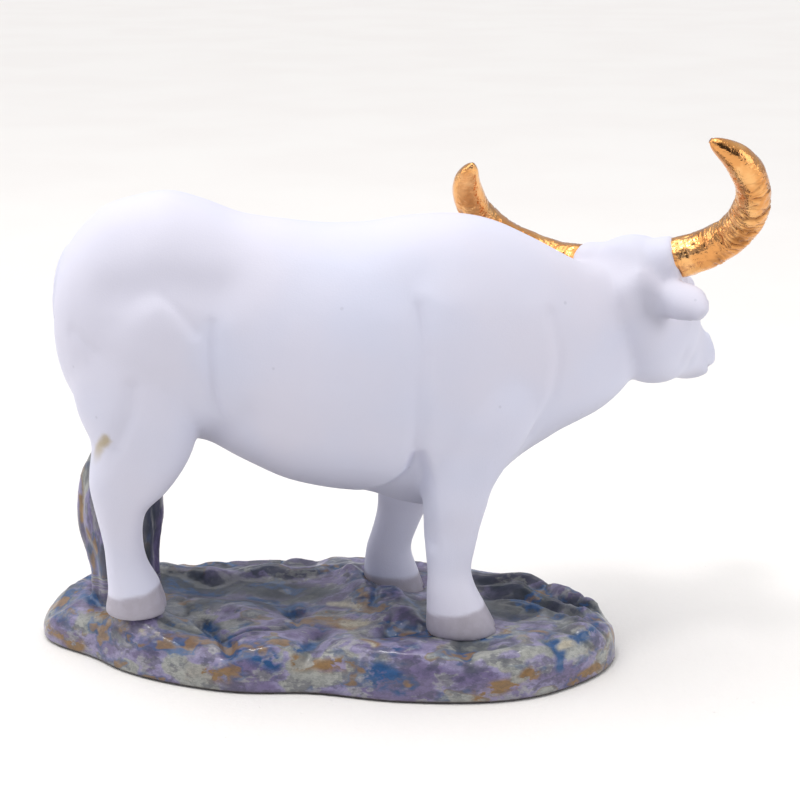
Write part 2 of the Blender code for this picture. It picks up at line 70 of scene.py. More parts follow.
class Side(Enum):
    """Which side of the ox a form is on."""

    RIGHT = 1
    LEFT = -1
    BOTH = 0


@dataclass(frozen=True)
class Fold:
    """A soft ridge or crease: a line in the skin, its reach to each side and how far it stands out."""

    line: tuple[Point, ...]
    reach: float
    rise: float
    side: Side = Side.BOTH


@dataclass(frozen=True)
class Muscle:
    """A raised patch of the flank: its outline as x, height and softness there, and how far it stands out."""

    outline: tuple[Point, ...]
    rise: float


@dataclass(frozen=True)
class Mark:
    """A form of its own on the head: its line, its rise, its reach, and its shade's strength and reach."""

    line: tuple[Point, ...]
    rise: float
    reach: float
    shade: float = 0.0
    shade_reach: float = 1.0


def spline(rows: tuple[Row, ...], steps: int, closed: bool = False) -> Array:
    """Carries rows of values through smoothly: each span is the Catmull-Rom cubic of its four nearest rows.

    Args:
        rows: The rows that the curve passes through.
        steps: How many steps there are from one row to the next.
        closed: Whether the last row leads back to the first.

    Returns:
        The rows of the fine curve.
    """
    known = np.array(rows, float)
    if closed:
        points = np.vstack([known[-1:], known, known[:2]])
        spans = len(known)
    else:
        points = np.vstack([2 * known[:1] - known[1:2], known, 2 * known[-1:] - known[-2:-1]])
        spans = len(known) - 1
    at = np.arange(spans * steps + (0 if closed else 1)) / steps
    span = np.minimum(at.astype(int), spans - 1)
    t = (at - span)[:, None]
    a, b, c, d = (points[span + k] for k in range(4))
    return 0.5 * (2 * b + (c - a) * t + (2 * a - 5 * b + 4 * c - d) * t**2 + (3 * b - a - 3 * c + d) * t**3)


def section(sides: int, power: float) -> tuple[Array, Array]:
    """Cosine and sine around a section, each raised to 2 / power with its sign kept: 2 is an ellipse.

    Args:
        sides: How many points the section has.
        power: How square it is.

    Returns:
        The two shares, one value for each point.
    """
    turn = np.arange(sides) * 2 * math.pi / sides
    cosine, sine = np.cos(turn), np.sin(turn)
    squared = [np.sign(value) * np.abs(value) ** (2 / power) for value in (cosine, sine)]
    return squared[0], squared[1]


def distance_to_line(points: Array, line: tuple[Row, ...]) -> Array:
    """How far each point is from a line of straight runs: the least distance to any of its runs.

    Args:
        points: The places, one row each.
        line: The line's corners.

    Returns:
        One distance for each place.
    """
    corners = np.array(line, float)
    nearest = np.full(len(points), np.inf)
    for start, end in zip(corners[:-1], corners[1:]):
        way = end - start
        share = np.clip((points - start) @ way / (way @ way), 0, 1)
        away = np.linalg.norm(points - start - share[:, None] * way, axis=1)
        nearest = np.minimum(nearest, away)
    return nearest


def inside_share(places: Array, outline: tuple[Point, ...]) -> Array:
    """How far inside a flat outline each place is: distance from the nearest edge over the softness there.

    The distance is counted below nought outside, and one place is inside when a ray from it crosses an odd
    number of edges. The result is eased from nought to one.

    Args:
        places: The places, two coordinates each.
        outline: The corners, with the softness at each.

    Returns:
        One share for each place.
    """
    corners = np.array(outline, float)
    nearest = np.full(len(places), np.inf)
    soft = np.ones(len(places))
    odd = np.zeros(len(places), bool)
    for start, end in zip(corners, np.roll(corners, -1, axis=0)):
        way = end[:2] - start[:2]
        share = np.clip((places - start[:2]) @ way / (way @ way), 0, 1)
        away = np.linalg.norm(places - start[:2] - share[:, None] * way, axis=1)
        closer = away < nearest
        nearest = np.where(closer, away, nearest)
        soft = np.where(closer, start[2] + share * (end[2] - start[2]), soft)
        spans = (start[1] > places[:, 1]) != (end[1] > places[:, 1])
        crossing = start[0] + (places[:, 1] - start[1]) * way[0] / (way[1] if way[1] else 1e-9)
        odd ^= spans & (places[:, 0] < crossing)
    return ease(np.where(odd, nearest, -nearest) / soft, -1.0, 1.0)


def swell(points: Array, line: tuple[Row, ...], reach: float) -> Array:
    """A bell around a line: e to the minus square of distance over reach."""
    return np.exp(-((distance_to_line(points, line) / reach) ** 2))


def ease(value: Array, low: float, high: float) -> Array:
    """Nought below the low value, one above the high one and a smooth cubic between them."""
    share = np.clip((value - low) / (high - low), 0, 1)
    return share * share * (3 - 2 * share)


def cloud(points: Array, size: float, seed: int) -> Array:
    """Smooth noise from -1 to 1: hashed values at the corners of a lattice, blended by cubic weights.

    Args:
        points: The places, one row of three each.
        size: The lattice's spacing.
        seed: Which of the patterns to use.

    Returns:
        One value for each place.
    """
    at = points / size
    cell = np.floor(at).astype(np.int64)
    part = at - cell
    weight = part * part * (3 - 2 * part)
    total = np.zeros(len(points))
    for corner in np.ndindex(2, 2, 2):
        key = cell + np.array(corner)
        mixed = (key[:, 0] * 73856093) ^ (key[:, 1] * 19349663) ^ (key[:, 2] * 83492791) ^ (seed * 40503)
        mixed = ((mixed ^ (mixed >> 13)) * 1274126177) & 0x7FFFFFFF
        value = (mixed >> 8 & 0xFFFF) / 65535
        total += value * np.prod(np.where(corner, weight, 1 - weight), axis=1)
    return 2 * total - 1


def clouds(points: Array, size: float, layers: int, seed: int) -> Array:
    """Layers of noise, each half as large and half as strong as the one before."""
    return sum(cloud(points, size / 2**k, seed + k) / 2**k for k in range(layers))


def grid_faces(rings: int, sides: int, first: int) -> list[tuple[int, ...]]:
    """Faces of a closed tube of rings: a quad for each step around and along, and one face over each end.

    Args:
        rings: How many rings the tube has.
        sides: How many points a ring has.
        first: The number of the tube's first point.

    Returns:
        The faces as tuples of point numbers.
    """
    index = first + np.arange(rings * sides).reshape(rings, sides)
    turned = np.roll(index, -1, axis=1)
    quads = np.stack([index[:-1], turned[:-1], turned[1:], index[1:]], -1).reshape(-1, 4)
    return [*map(tuple, quads.tolist()), tuple(index[0, ::-1].tolist()), tuple(index[-1].tolist())]


def tube(line: Array, radius: Array, sides: int) -> Array:
    """A round profile carried along a line: centre + radius * (cosine * normal + sine * binormal).

    The normal is square to one cross direction that is fixed by the line's bend, so it doesn't twist.

    Args:
        line: The middle line, one row for each ring.
        radius: The radius at each ring.
        sides: How many points a ring has.

    Returns:
        The rings as an array of rings, sides and coordinates.
    """
    tangent = np.gradient(line, axis=0)
    tangent /= np.linalg.norm(tangent, axis=1)[:, None]
    chord = np.cross(line[-1] - line[0], line[len(line) // 2] - line[0])
    side = chord / np.linalg.norm(chord)
    across = side - tangent * (tangent @ side)[:, None]
    across /= np.linalg.norm(across, axis=1)[:, None]
    third = np.cross(tangent, across)
    cosine, sine = section(sides, 2.0)
    ring = cosine[None, :, None] * third[:, None] + sine[None, :, None] * across[:, None]
    return line[:, None] + radius[:, None, None] * ring


def new_object(name: str, data: bpy.types.ID) -> bpy.types.Object:
    """An object in the scene that shows its data."""
    made = bpy.data.objects.new(name, data)
    bpy.context.scene.collection.objects.link(made)
    return made


def new_piece(name: str, grids: list[Array]) -> bpy.types.Object:
    """A mesh object from grids of rings in the figure's millimetres, placed in the frame in metres.

    Args:
        name: The object's name.
        grids: Closed tubes, each an array of rings, sides and coordinates.

    Returns:
        The object, with its faces pointing outwards.
    """
    points, faces, first = [], [], 0
    for grid in grids:
        rings, sides = grid.shape[:2]
        points.append(grid.reshape(-1, 3))
        faces += grid_faces(rings, sides, first)
        first += rings * sides
    mesh = bpy.data.meshes.new(name)
    mesh.from_pydata(to_frame(np.vstack(points)).tolist(), [], faces)
    shape = bmesh.new()
    shape.from_mesh(mesh)
    bmesh.ops.recalc_face_normals(shape, faces=shape.faces)
    shape.to_mesh(mesh)
    shape.free()
    return new_object(name, mesh)


def to_frame(points: Array) -> Array:
    """Millimetres from the figure's middle line, above the table, as metres in the frame."""
    return (points + FIGURE_TO_FRAME) * MILLIMETRE


def to_figure(points: Array) -> Array:
    """Metres in the frame as millimetres from the figure's middle line, above the table."""
    return points / MILLIMETRE - FIGURE_TO_FRAME


def rework(piece: bpy.types.Object, kind: str, **settings: object) -> None:
    """Works a modifier into a piece's mesh.

    Args:
        piece: The object.
        kind: The modifier's type.
        settings: The modifier's properties.
    """
    modifier = piece.modifiers.new(kind.title(), kind)
    for key, value in settings.items():
        setattr(modifier, key, value)
    graph = bpy.context.evaluated_depsgraph_get()
    finished = bpy.data.meshes.new_from_object(piece.evaluated_get(graph))
    piece.modifiers.clear()
    before = piece.data
    piece.data = finished
    bpy.data.meshes.remove(before)
    finished.name = piece.name


def coordinates(mesh: bpy.types.Mesh) -> Array:
    """The mesh's points, one row each."""
    flat = np.empty(len(mesh.vertices) * 3, np.float32)
    mesh.vertices.foreach_get("co", flat)
    return flat.reshape(-1, 3).astype(float)


def directions(mesh: bpy.types.Mesh) -> Array:
    """The mesh's point normals, one row each."""
    flat = np.empty(len(mesh.vertices) * 3, np.float32)
    mesh.vertex_normals.foreach_get("vector", flat)
    return flat.reshape(-1, 3).astype(float)


def skin(piece: bpy.types.Object) -> tuple[Array, Array]:
    """A piece's points in the figure's millimetres, and its point normals."""
    return to_figure(coordinates(piece.data)), directions(piece.data)


def set_coordinates(mesh: bpy.types.Mesh, points: Array) -> None:
    """Moves the mesh's points."""
    mesh.vertices.foreach_set("co", points.astype(np.float32).ravel())
    mesh.update()


def set_mask(mesh: bpy.types.Mesh, name: str, values: Array) -> None:
    """Keeps one value for each point of the mesh, for its material to read."""
    layer = mesh.attributes.new(name, "FLOAT", "POINT")
    layer.data.foreach_set("value", np.clip(values, 0, 1).astype(np.float32))


def fit_to_node(piece: bpy.types.Object, node: str) -> None:
    """Brings a piece's box just inside its node's: each coordinate moves in proportion along its axis.

    Args:
        piece: The object, whose forms are already within a fraction of a millimetre of the node's.
        node: The CAD node that it stands for.
    """
    points = coordinates(piece.data)
    low, high = (np.array(corner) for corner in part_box(node))
    low, high = low + BOX_MARGIN, high - BOX_MARGIN
    from_low, from_high = points.min(0), points.max(0)
    set_coordinates(piece.data, low + (points - from_low) / (from_high - from_low) * (high - low))


class NodeSheet:
    """Adds nodes to a tree and joins them up."""

    def __init__(self, tree: bpy.types.NodeTree) -> None:
        """Starts on a node tree."""
        self.tree = tree
        self.count = 0

    def add(self, kind: str, settings: dict | None = None, inputs: dict | None = None) -> bpy.types.Node:
        """Adds a node.

        Args:
            kind: The node's type.
            settings: Its properties.
            inputs: Its inputs by name or number: a value, or a socket to link from.

        Returns:
            The node.
        """
        node = self.tree.nodes.new(kind)
        node.location = (220 * (self.count % 8), -260 * (self.count // 8))
        self.count += 1
        for key, value in (settings or {}).items():
            setattr(node, key, value)
        for key, value in (inputs or {}).items():
            self.feed(node.inputs[key], value)
        return node

    def feed(self, socket: bpy.types.NodeSocket, value: object) -> None:
        """Links a socket to an input, or sets the input's value."""
        if isinstance(value, bpy.types.NodeSocket):
            self.tree.links.new(value, socket)
        else:
            socket.default_value = value

    def math(self, operation: str, *values: object) -> bpy.types.NodeSocket:
        """The result of a sum on its values."""
        return self.add("ShaderNodeMath", {"operation": operation}, dict(enumerate(values))).outputs[0]

    def remap(
        self, value: object, low: object, high: object, to: Pair = (0.0, 1.0), kind: str = "SMOOTHSTEP"
    ) -> bpy.types.NodeSocket:
        """A value carried from one range to another.

        Args:
            value: The value.
            low: Where the range starts.
            high: Where it ends.
            to: The results at its start and end.
            kind: How it runs between them.

        Returns:
            The result.
        """
        inputs = {"Value": value, "From Min": low, "From Max": high, "To Min": to[0], "To Max": to[1]}
        return self.add("ShaderNodeMapRange", {"interpolation_type": kind}, inputs).outputs[0]

    def vector(self, operation: str, inputs: dict) -> bpy.types.Node:
        """A sum on vectors."""
        return self.add("ShaderNodeVectorMath", {"operation": operation}, inputs)

    def noise(self, vector: object, scale: object, detail: float, roughness: float = 0.5) -> bpy.types.Node:
        """A noise texture."""
        look = {"Vector": vector, "Scale": scale, "Detail": detail, "Roughness": roughness}
        return self.add("ShaderNodeTexNoise", None, look)

    def over(self, colour: object, tone: Colour, mask: object, share: float) -> bpy.types.NodeSocket:
        """A colour with a tone laid over it by a share of a mask."""
        return self.mix(self.math("MULTIPLY", mask, share), colour, tone)

    def mix(self, factor: object, first: object, second: object) -> bpy.types.NodeSocket:
        """A colour between two colours."""
        node = self.add("ShaderNodeMix", {"data_type": "RGBA"}, {0: factor})
        self.feed(node.inputs[6], solid(first))
        self.feed(node.inputs[7], solid(second))
        return node.outputs[2]

    def attribute(self, name: str) -> bpy.types.NodeSocket:
        """A value that the mesh keeps for each point."""
        return self.add("ShaderNodeAttribute", {"attribute_name": name}).outputs["Fac"]


def solid(colour: object) -> object:
    """A colour with its fourth value, or the socket that was given."""
    return (*colour, 1.0) if isinstance(colour, tuple) else colour


def new_group(name: str, inputs: dict[str, float | None], outputs: tuple[str, ...]) -> bpy.types.NodeTree:
    """An empty shader node group with named sockets.

    Args:
        name: The group's name.
        inputs: Each input's name and starting value, or None for a vector.
        outputs: The outputs' names, each a value.

    Returns:
        The group's tree.
    """
    group = bpy.data.node_groups.new(name, "ShaderNodeTree")
    for label, value in inputs.items():
        kind = "NodeSocketVector" if value is None else "NodeSocketFloat"
        socket = group.interface.new_socket(label, in_out="INPUT", socket_type=kind)
        if value is not None:
            socket.default_value = value
    for label in outputs:
        group.interface.new_socket(label, in_out="OUTPUT", socket_type="NodeSocketFloat")
    return group


class SharedEffects:
    """The node groups that more than one finish uses."""

    cover_levels: Pair = (0.68, 0.32)
    pit_share: float = 0.07
    pit_edge: Pair = (0.05, 0.11)
    pit_depth: float = 0.8

    def __init__(self) -> None:
        """Builds the groups."""
        self.patches = self.build_patches()
        self.grain = self.build_grain()

    def build_patches(self) -> bpy.types.NodeTree:
        """Brushed patches: warped noise cut off where its cover says, with an edge of a given width."""
        inputs = {"Vector": None, "Scale": 100.0, "Cover": 0.5, "Edge": 0.06, "Warp": 0.004}
        group = new_group("brushed_patches", inputs, ("Mask",))
        sheet = NodeSheet(group)
        given = sheet.add("NodeGroupInput").outputs
        finer = sheet.math("MULTIPLY", given["Scale"], 2.3)
        stir = sheet.noise(given["Vector"], finer, 2.0)
        centred = sheet.vector("SUBTRACT", {0: stir.outputs["Color"], 1: (0.5, 0.5, 0.5)})
        moved = sheet.vector("SCALE", {0: centred.outputs[0], "Scale": given["Warp"]})
        place = sheet.vector("ADD", {0: given["Vector"], 1: moved.outputs[0]})
        noise = sheet.noise(place.outputs[0], given["Scale"], 2.0, 0.45)
        middle = sheet.remap(given["Cover"], 0.0, 1.0, self.cover_levels, "LINEAR")
        low, high = (sheet.math(way, middle, given["Edge"]) for way in ("SUBTRACT", "ADD"))
        sheet.add("NodeGroupOutput", None, {"Mask": sheet.remap(noise.outputs[0], low, high)})
        return group

    def build_grain(self) -> bpy.types.NodeTree:
        """Fired grain: the height of a fine tooth, and round pits thinned out by a noise."""
        inputs = {"Vector": None, "Scale": 1500.0, "Pit Scale": 260.0}
        group = new_group("fired_grain", inputs, ("Height", "Pits"))
        sheet = NodeSheet(group)
        given = sheet.add("NodeGroupInput").outputs
        tooth = sheet.noise(given["Vector"], given["Scale"], 3.0)
        spread = {"Vector": given["Vector"], "Scale": given["Pit Scale"]}
        cells = sheet.add("ShaderNodeTexVoronoi", None, spread)
        few = sheet.add("ShaderNodeSeparateColor", None, {0: cells.outputs["Color"]})
        chosen = sheet.math("GREATER_THAN", few.outputs[0], 1 - self.pit_share)
        near = sheet.remap(cells.outputs["Distance"], *self.pit_edge, (1.0, 0.0))
        pits = sheet.math("MULTIPLY", chosen, near)
        height = sheet.math("SUBTRACT", tooth.outputs[0], sheet.math("MULTIPLY", pits, self.pit_depth))
        sheet.add("NodeGroupOutput", None, {"Height": height, "Pits": pits})
        return group


class Finish:
    """What every finish shares: a material, its sheet of nodes and its shader."""

    def start(self, name: str) -> tuple[bpy.types.Material, NodeSheet, bpy.types.Node, bpy.types.NodeSocket]:
        """A new material.

        Args:
            name: The material's name.

        Returns:
            The material, its node sheet, its shader and its Object coordinates.
        """
        made = bpy.data.materials.new(name)
        made.use_nodes = True
        sheet = NodeSheet(made.node_tree)
        shader = made.node_tree.nodes["Principled BSDF"]
        place = sheet.add("ShaderNodeTexCoord").outputs["Object"]
        return made, sheet, shader, place

    def group(self, sheet: NodeSheet, tree: bpy.types.NodeTree, **inputs: object) -> bpy.types.Node:
        """Places a node group with its own values; an underscore in a name stands for a space."""
        named = {key.replace("_", " "): value for key, value in inputs.items()}
        return sheet.add("ShaderNodeGroup", {"node_tree": tree}, named)

    def patches(
        self, sheet: NodeSheet, effects: SharedEffects, place: object, look: Row
    ) -> bpy.types.NodeSocket:
        """A mask of brushed patches, its look given as scale, cover, edge and warp."""
        named = dict(zip(("Scale", "Cover", "Edge", "Warp"), look))
        return self.group(sheet, effects.patches, Vector=place, **named).outputs[0]

    def bump(self, sheet: NodeSheet, shader: bpy.types.Node, height: object, depth: float) -> None:
        """Feeds a height in metres times a depth to the shader's normal."""
        node = sheet.add("ShaderNodeBump", None, {"Height": height, "Distance": depth, "Strength": 1.0})
        sheet.feed(shader.inputs["Normal"], node.outputs[0])


@dataclass(frozen=True)
class BisqueFinish(Finish):
    """Matte unglazed porcelain with washed hooves, a tinted nose, a run of glaze on one hock, and painted
    shade in its creases, recesses, underside and pinholes.
    """

    body: Colour = (0.66, 0.675, 0.80)
    warm: Colour = (0.695, 0.685, 0.785)
    shade: Colour = (0.45, 0.45, 0.54)
    hoof: Colour = (0.40, 0.37, 0.42)
    nose: Colour = (0.58, 0.47, 0.50)
    run: Colour = (0.42, 0.33, 0.16)
    wash_least: float = 0.86
    wash_change: float = 0.12
    hollow_shade_share: float = 0.75
    pit_share: float = 0.35
    run_shine: float = -0.3
    roughness: float = 0.56
    tooth: float = 0.00003

    def make(self, effects: SharedEffects) -> bpy.types.Material:
        """The material, from patches of warmer white, painted shade in the recesses and pinholes, and washes.

        Args:
            effects: The shared node groups.

        Returns:
            The material.
        """
        made, sheet, shader, place = self.start("white_bisque")
        tint = self.patches(sheet, effects, place, (28.0, 0.5, 0.16, 0.01))
        grain = self.group(sheet, effects.grain, Vector=place, Scale=2600.0, Pit_Scale=190.0)
        wash = self.patches(sheet, effects, place, (420.0, 0.5, 0.2, 0.002))
        colour = sheet.mix(tint, self.body, self.warm)
        # Painted shade: the shade colour laid over the creases, recesses and underside by the mask.
        colour = sheet.over(colour, self.shade, sheet.attribute("hollow_shade"), self.hollow_shade_share)
        washed = sheet.math("MULTIPLY_ADD", wash, self.wash_change, self.wash_least)
        washed = sheet.math("MULTIPLY", sheet.attribute("hoof"), washed)
        colour = sheet.mix(washed, colour, self.hoof)
        for name, tone in (("nose", self.nose), ("run", self.run)):
            colour = sheet.mix(sheet.attribute(name), colour, tone)
        # Painted shade: the pinholes darkened with the shade colour.
        colour = sheet.over(colour, self.shade, grain.outputs["Pits"], self.pit_share)
        sheet.feed(shader.inputs["Base Color"], colour)
        shine = sheet.math("MULTIPLY", sheet.attribute("run"), self.run_shine)
        sheet.feed(shader.inputs["Roughness"], sheet.math("ADD", shine, self.roughness))
        shader.inputs["Specular IOR Level"].default_value = 0.35
        self.bump(sheet, shader, grain.outputs["Height"], self.tooth)
        return made


@dataclass(frozen=True)
class GildingFinish(Finish):
    """Bright fired gold, rubbed thin in a few places, with painted shade in its grooves and pits."""

    gold: Colour = (0.76, 0.35, 0.115)
    deep: Colour = (0.26, 0.10, 0.03)
    pale: Colour = (0.93, 0.51, 0.20)
    groove_shade_share: float = 0.8
    pit_share: float = 0.7
    rubbed_dull: float = 0.08
    roughness: float = 0.09
    crinkle: float = 0.00028

    def make(self, effects: SharedEffects) -> bpy.types.Material:
        """The material, from patches of paler gold, and painted shade from the grooves' mask and the pits.

        Args:
            effects: The shared node groups.

        Returns:
            The material.
        """
        made, sheet, shader, place = self.start("gilding")
        patch = self.patches(sheet, effects, place, (160.0, 0.4, 0.12, 0.004))
        grain = self.group(sheet, effects.grain, Vector=place, Scale=900.0, Pit_Scale=420.0)
        colour = sheet.mix(patch, self.gold, self.pale)
        # Painted shade: the grooves and pits darkened to deep brown.
        colour = sheet.over(colour, self.deep, sheet.attribute("groove"), self.groove_shade_share)
        colour = sheet.over(colour, self.deep, grain.outputs["Pits"], self.pit_share)
        sheet.feed(shader.inputs["Base Color"], colour)
        rubbed = sheet.math("MULTIPLY", patch, self.rubbed_dull)
        sheet.feed(shader.inputs["Roughness"], sheet.math("ADD", rubbed, self.roughness))
        shader.inputs["Metallic"].default_value = 1.0
        self.bump(sheet, shader, grain.outputs["Height"], self.crinkle)
        return made


@dataclass(frozen=True)
class RockGlazeFinish(Finish):
    """Glossy mottled glaze: slate purple and lavender, celadon low down, cobalt in clefts, ochre strokes,
    painted shade in the clefts, painted shadow under the ox, and a dark, duller band along the foot.
    """

    slate: Colour = (0.070, 0.068, 0.105)
    lavender: Colour = (0.27, 0.235, 0.41)
    blue_grey: Colour = (0.11, 0.125, 0.18)
    plum: Colour = (0.135, 0.105, 0.21)
    celadon: Colour = (0.37, 0.375, 0.34)
    cobalt: Colour = (0.025, 0.085, 0.22)
    teal: Colour = (0.022, 0.034, 0.05)
    ochre: Colour = (0.255, 0.15, 0.062)
    cream: Colour = (0.46, 0.42, 0.33)
    foot: Colour = (0.05, 0.04, 0.035)
    cells: float = 98.0
    foot_dull: float = 0.5
    roughness: float = 0.36
    ripple: float = 0.00010

    def make(self, effects: SharedEffects) -> bpy.types.Material:
        """The material, from layers of patches over each other, the strokes that the mesh keeps, and its
        masks of painted shade and painted shadow.

        Args:
            effects: The shared node groups.

        Returns:
            The material.
        """
        made, sheet, shader, place = self.start("rock_glaze")
        level, upright = (
            sheet.add("ShaderNodeMapping", None, {"Vector": place, "Scale": stretch}).outputs[0]
            for stretch in ((0.75, 1.0, 1.4), (1.3, 1.3, 0.35))
        )
        ways = {0: sheet.attribute("bark"), 4: level, 5: upright}
        flat = sheet.add("ShaderNodeMix", {"data_type": "VECTOR"}, ways).outputs[1]

        def patches(scale: float, cover: float, edge: float, warp: float) -> bpy.types.NodeSocket:
            """A mask of patches that lie level on the rock and upright on the stump."""
            return self.patches(sheet, effects, flat, (scale, cover, edge, warp))

        def share(mask: bpy.types.NodeSocket, part: object) -> bpy.types.NodeSocket:
            """A mask times a number or another mask."""
            return sheet.math("MULTIPLY", mask, part)

        def stroke(name: str, gain: float) -> bpy.types.NodeSocket:
            """A stroke of the brush, broken up by fine patches."""
            broken = sheet.math("ADD", patches(210.0, 0.56, 0.07, 0.007), 0.15)
            return sheet.math("MINIMUM", share(share(sheet.attribute(name), broken), gain), 1.0)

        hollow_shade, foot = sheet.attribute("hollow_shade"), sheet.attribute("foot")
        deeper = sheet.math("ADD", share(hollow_shade, 0.8), 0.5)
        outer = patches(self.cells, 0.60, 0.022, 0.005)
        rim = sheet.math("SUBTRACT", patches(self.cells, 0.67, 0.022, 0.005), outer)
        layers = (
            (share(sheet.attribute("low"), 0.9), self.celadon),
            (share(share(rim, patches(70.0, 0.28, 0.06, 0.006)), 0.85), self.ochre),
            (share(outer, 0.85), self.lavender),
            (share(patches(self.cells, 0.40, 0.035, 0.005), 0.75), self.plum),
            (share(patches(230.0, 0.30, 0.05, 0.005), 0.6), self.celadon),
            (share(patches(250.0, 0.34, 0.06, 0.005), 0.55), self.slate),
            # Painted shadow of the ox on the rock and stump, near black.
            (share(sheet.attribute("dark"), 0.82), self.teal),
            # Painted shade in the clefts, near black.
            (share(hollow_shade, 0.85), self.teal),
            (share(patches(120.0, 0.30, 0.04, 0.007), deeper), self.cobalt),
            (stroke("cobalt", 1.0), self.cobalt),
            (share(patches(120.0, 0.13, 0.035, 0.006), 0.85), self.ochre),
            (stroke("ochre", 1.15), self.ochre),
            (stroke("cream", 1.0), self.cream),
            (share(patches(900.0, 0.45, 0.14, 0.002), 0.28), self.teal),
            # Dark, duller band along the lowest millimetre.
            (foot, self.foot),
        )
        colour = sheet.mix(patches(60.0, 0.5, 0.14, 0.012), self.slate, self.blue_grey)
        for mask, tone in layers:
            colour = sheet.mix(mask, colour, tone)
        sheet.feed(shader.inputs["Base Color"], colour)
        grain = self.group(sheet, effects.grain, Vector=place, Scale=700.0, Pit_Scale=300.0)
        sheet.feed(shader.inputs["Roughness"], sheet.math("ADD", share(foot, self.foot_dull), self.roughness))
        shader.inputs["Specular IOR Level"].default_value = 0.3
        shader.inputs["Coat Weight"].default_value = 0.42
        shader.inputs["Coat Roughness"].default_value = 0.07
        self.bump(sheet, shader, grain.outputs["Height"], self.ripple)
        return made


@dataclass(frozen=True)
class FloorFinish(Finish):
    """Pale paper with a soft tooth."""

    paper: Colour = (0.835, 0.82, 0.80)
    warm: Colour = (0.82, 0.80, 0.78)
    tooth: float = 0.00012

    def make(self, effects: SharedEffects) -> bpy.types.Material:
        """The material, from large warm patches and a fine grain.

        Args:
            effects: The shared node groups.

        Returns:
            The material.
        """
        made, sheet, shader, place = self.start("pale_paper")
        tint = self.patches(sheet, effects, place, (9.0, 0.5, 0.2, 0.02))
        grain = self.group(sheet, effects.grain, Vector=place, Scale=900.0, Pit_Scale=300.0)
        sheet.feed(shader.inputs["Base Color"], sheet.mix(tint, self.paper, self.warm))
        shader.inputs["Roughness"].default_value = 0.7
        shader.inputs["Specular IOR Level"].default_value = 0.2
        self.bump(sheet, shader, grain.outputs["Height"], self.tooth)
        return made


@dataclass
class HeadPose:
    """Where the head is and how it is turned."""

    poll: Point = (75.0, 11.9, 96.75)
    heading: float = 53.7
    pitch: float = 32.0
    roll: float = 13.7
    horn_pitch: float = 47.2

    def axes(self, pitch: float) -> tuple[Array, Array, Array]:
        """Forward, right and up of the head at a pitch.

        Args:
            pitch: How far forward leans down, in degrees.

        Returns:
            Three unit directions.
        """
        heading, pitch, roll = (math.radians(angle) for angle in (self.heading, pitch, self.roll))
        level = np.array([math.cos(heading), math.sin(heading), 0.0])
        forward = level * math.cos(pitch) - np.array([0.0, 0.0, math.sin(pitch)])
        right = np.array([math.sin(heading), -math.cos(heading), 0.0])
        up = level * math.sin(pitch) + np.array([0.0, 0.0, math.cos(pitch)])
        rolled = right * math.cos(roll) + up * math.sin(roll)
        return forward, rolled, up * math.cos(roll) - right * math.sin(roll)

    def place(self, line: tuple[Point, ...], side: Side) -> tuple[Point, ...]:
        """A line given forward, up and out from the head's axis, in the figure's millimetres."""
        forward, right, up = self.axes(self.pitch)
        shares = np.array(line) * (1, 1, side.value)
        placed = np.array(self.poll) + shares @ np.array([forward, up, right])
        return tuple(map(tuple, placed.tolist()))


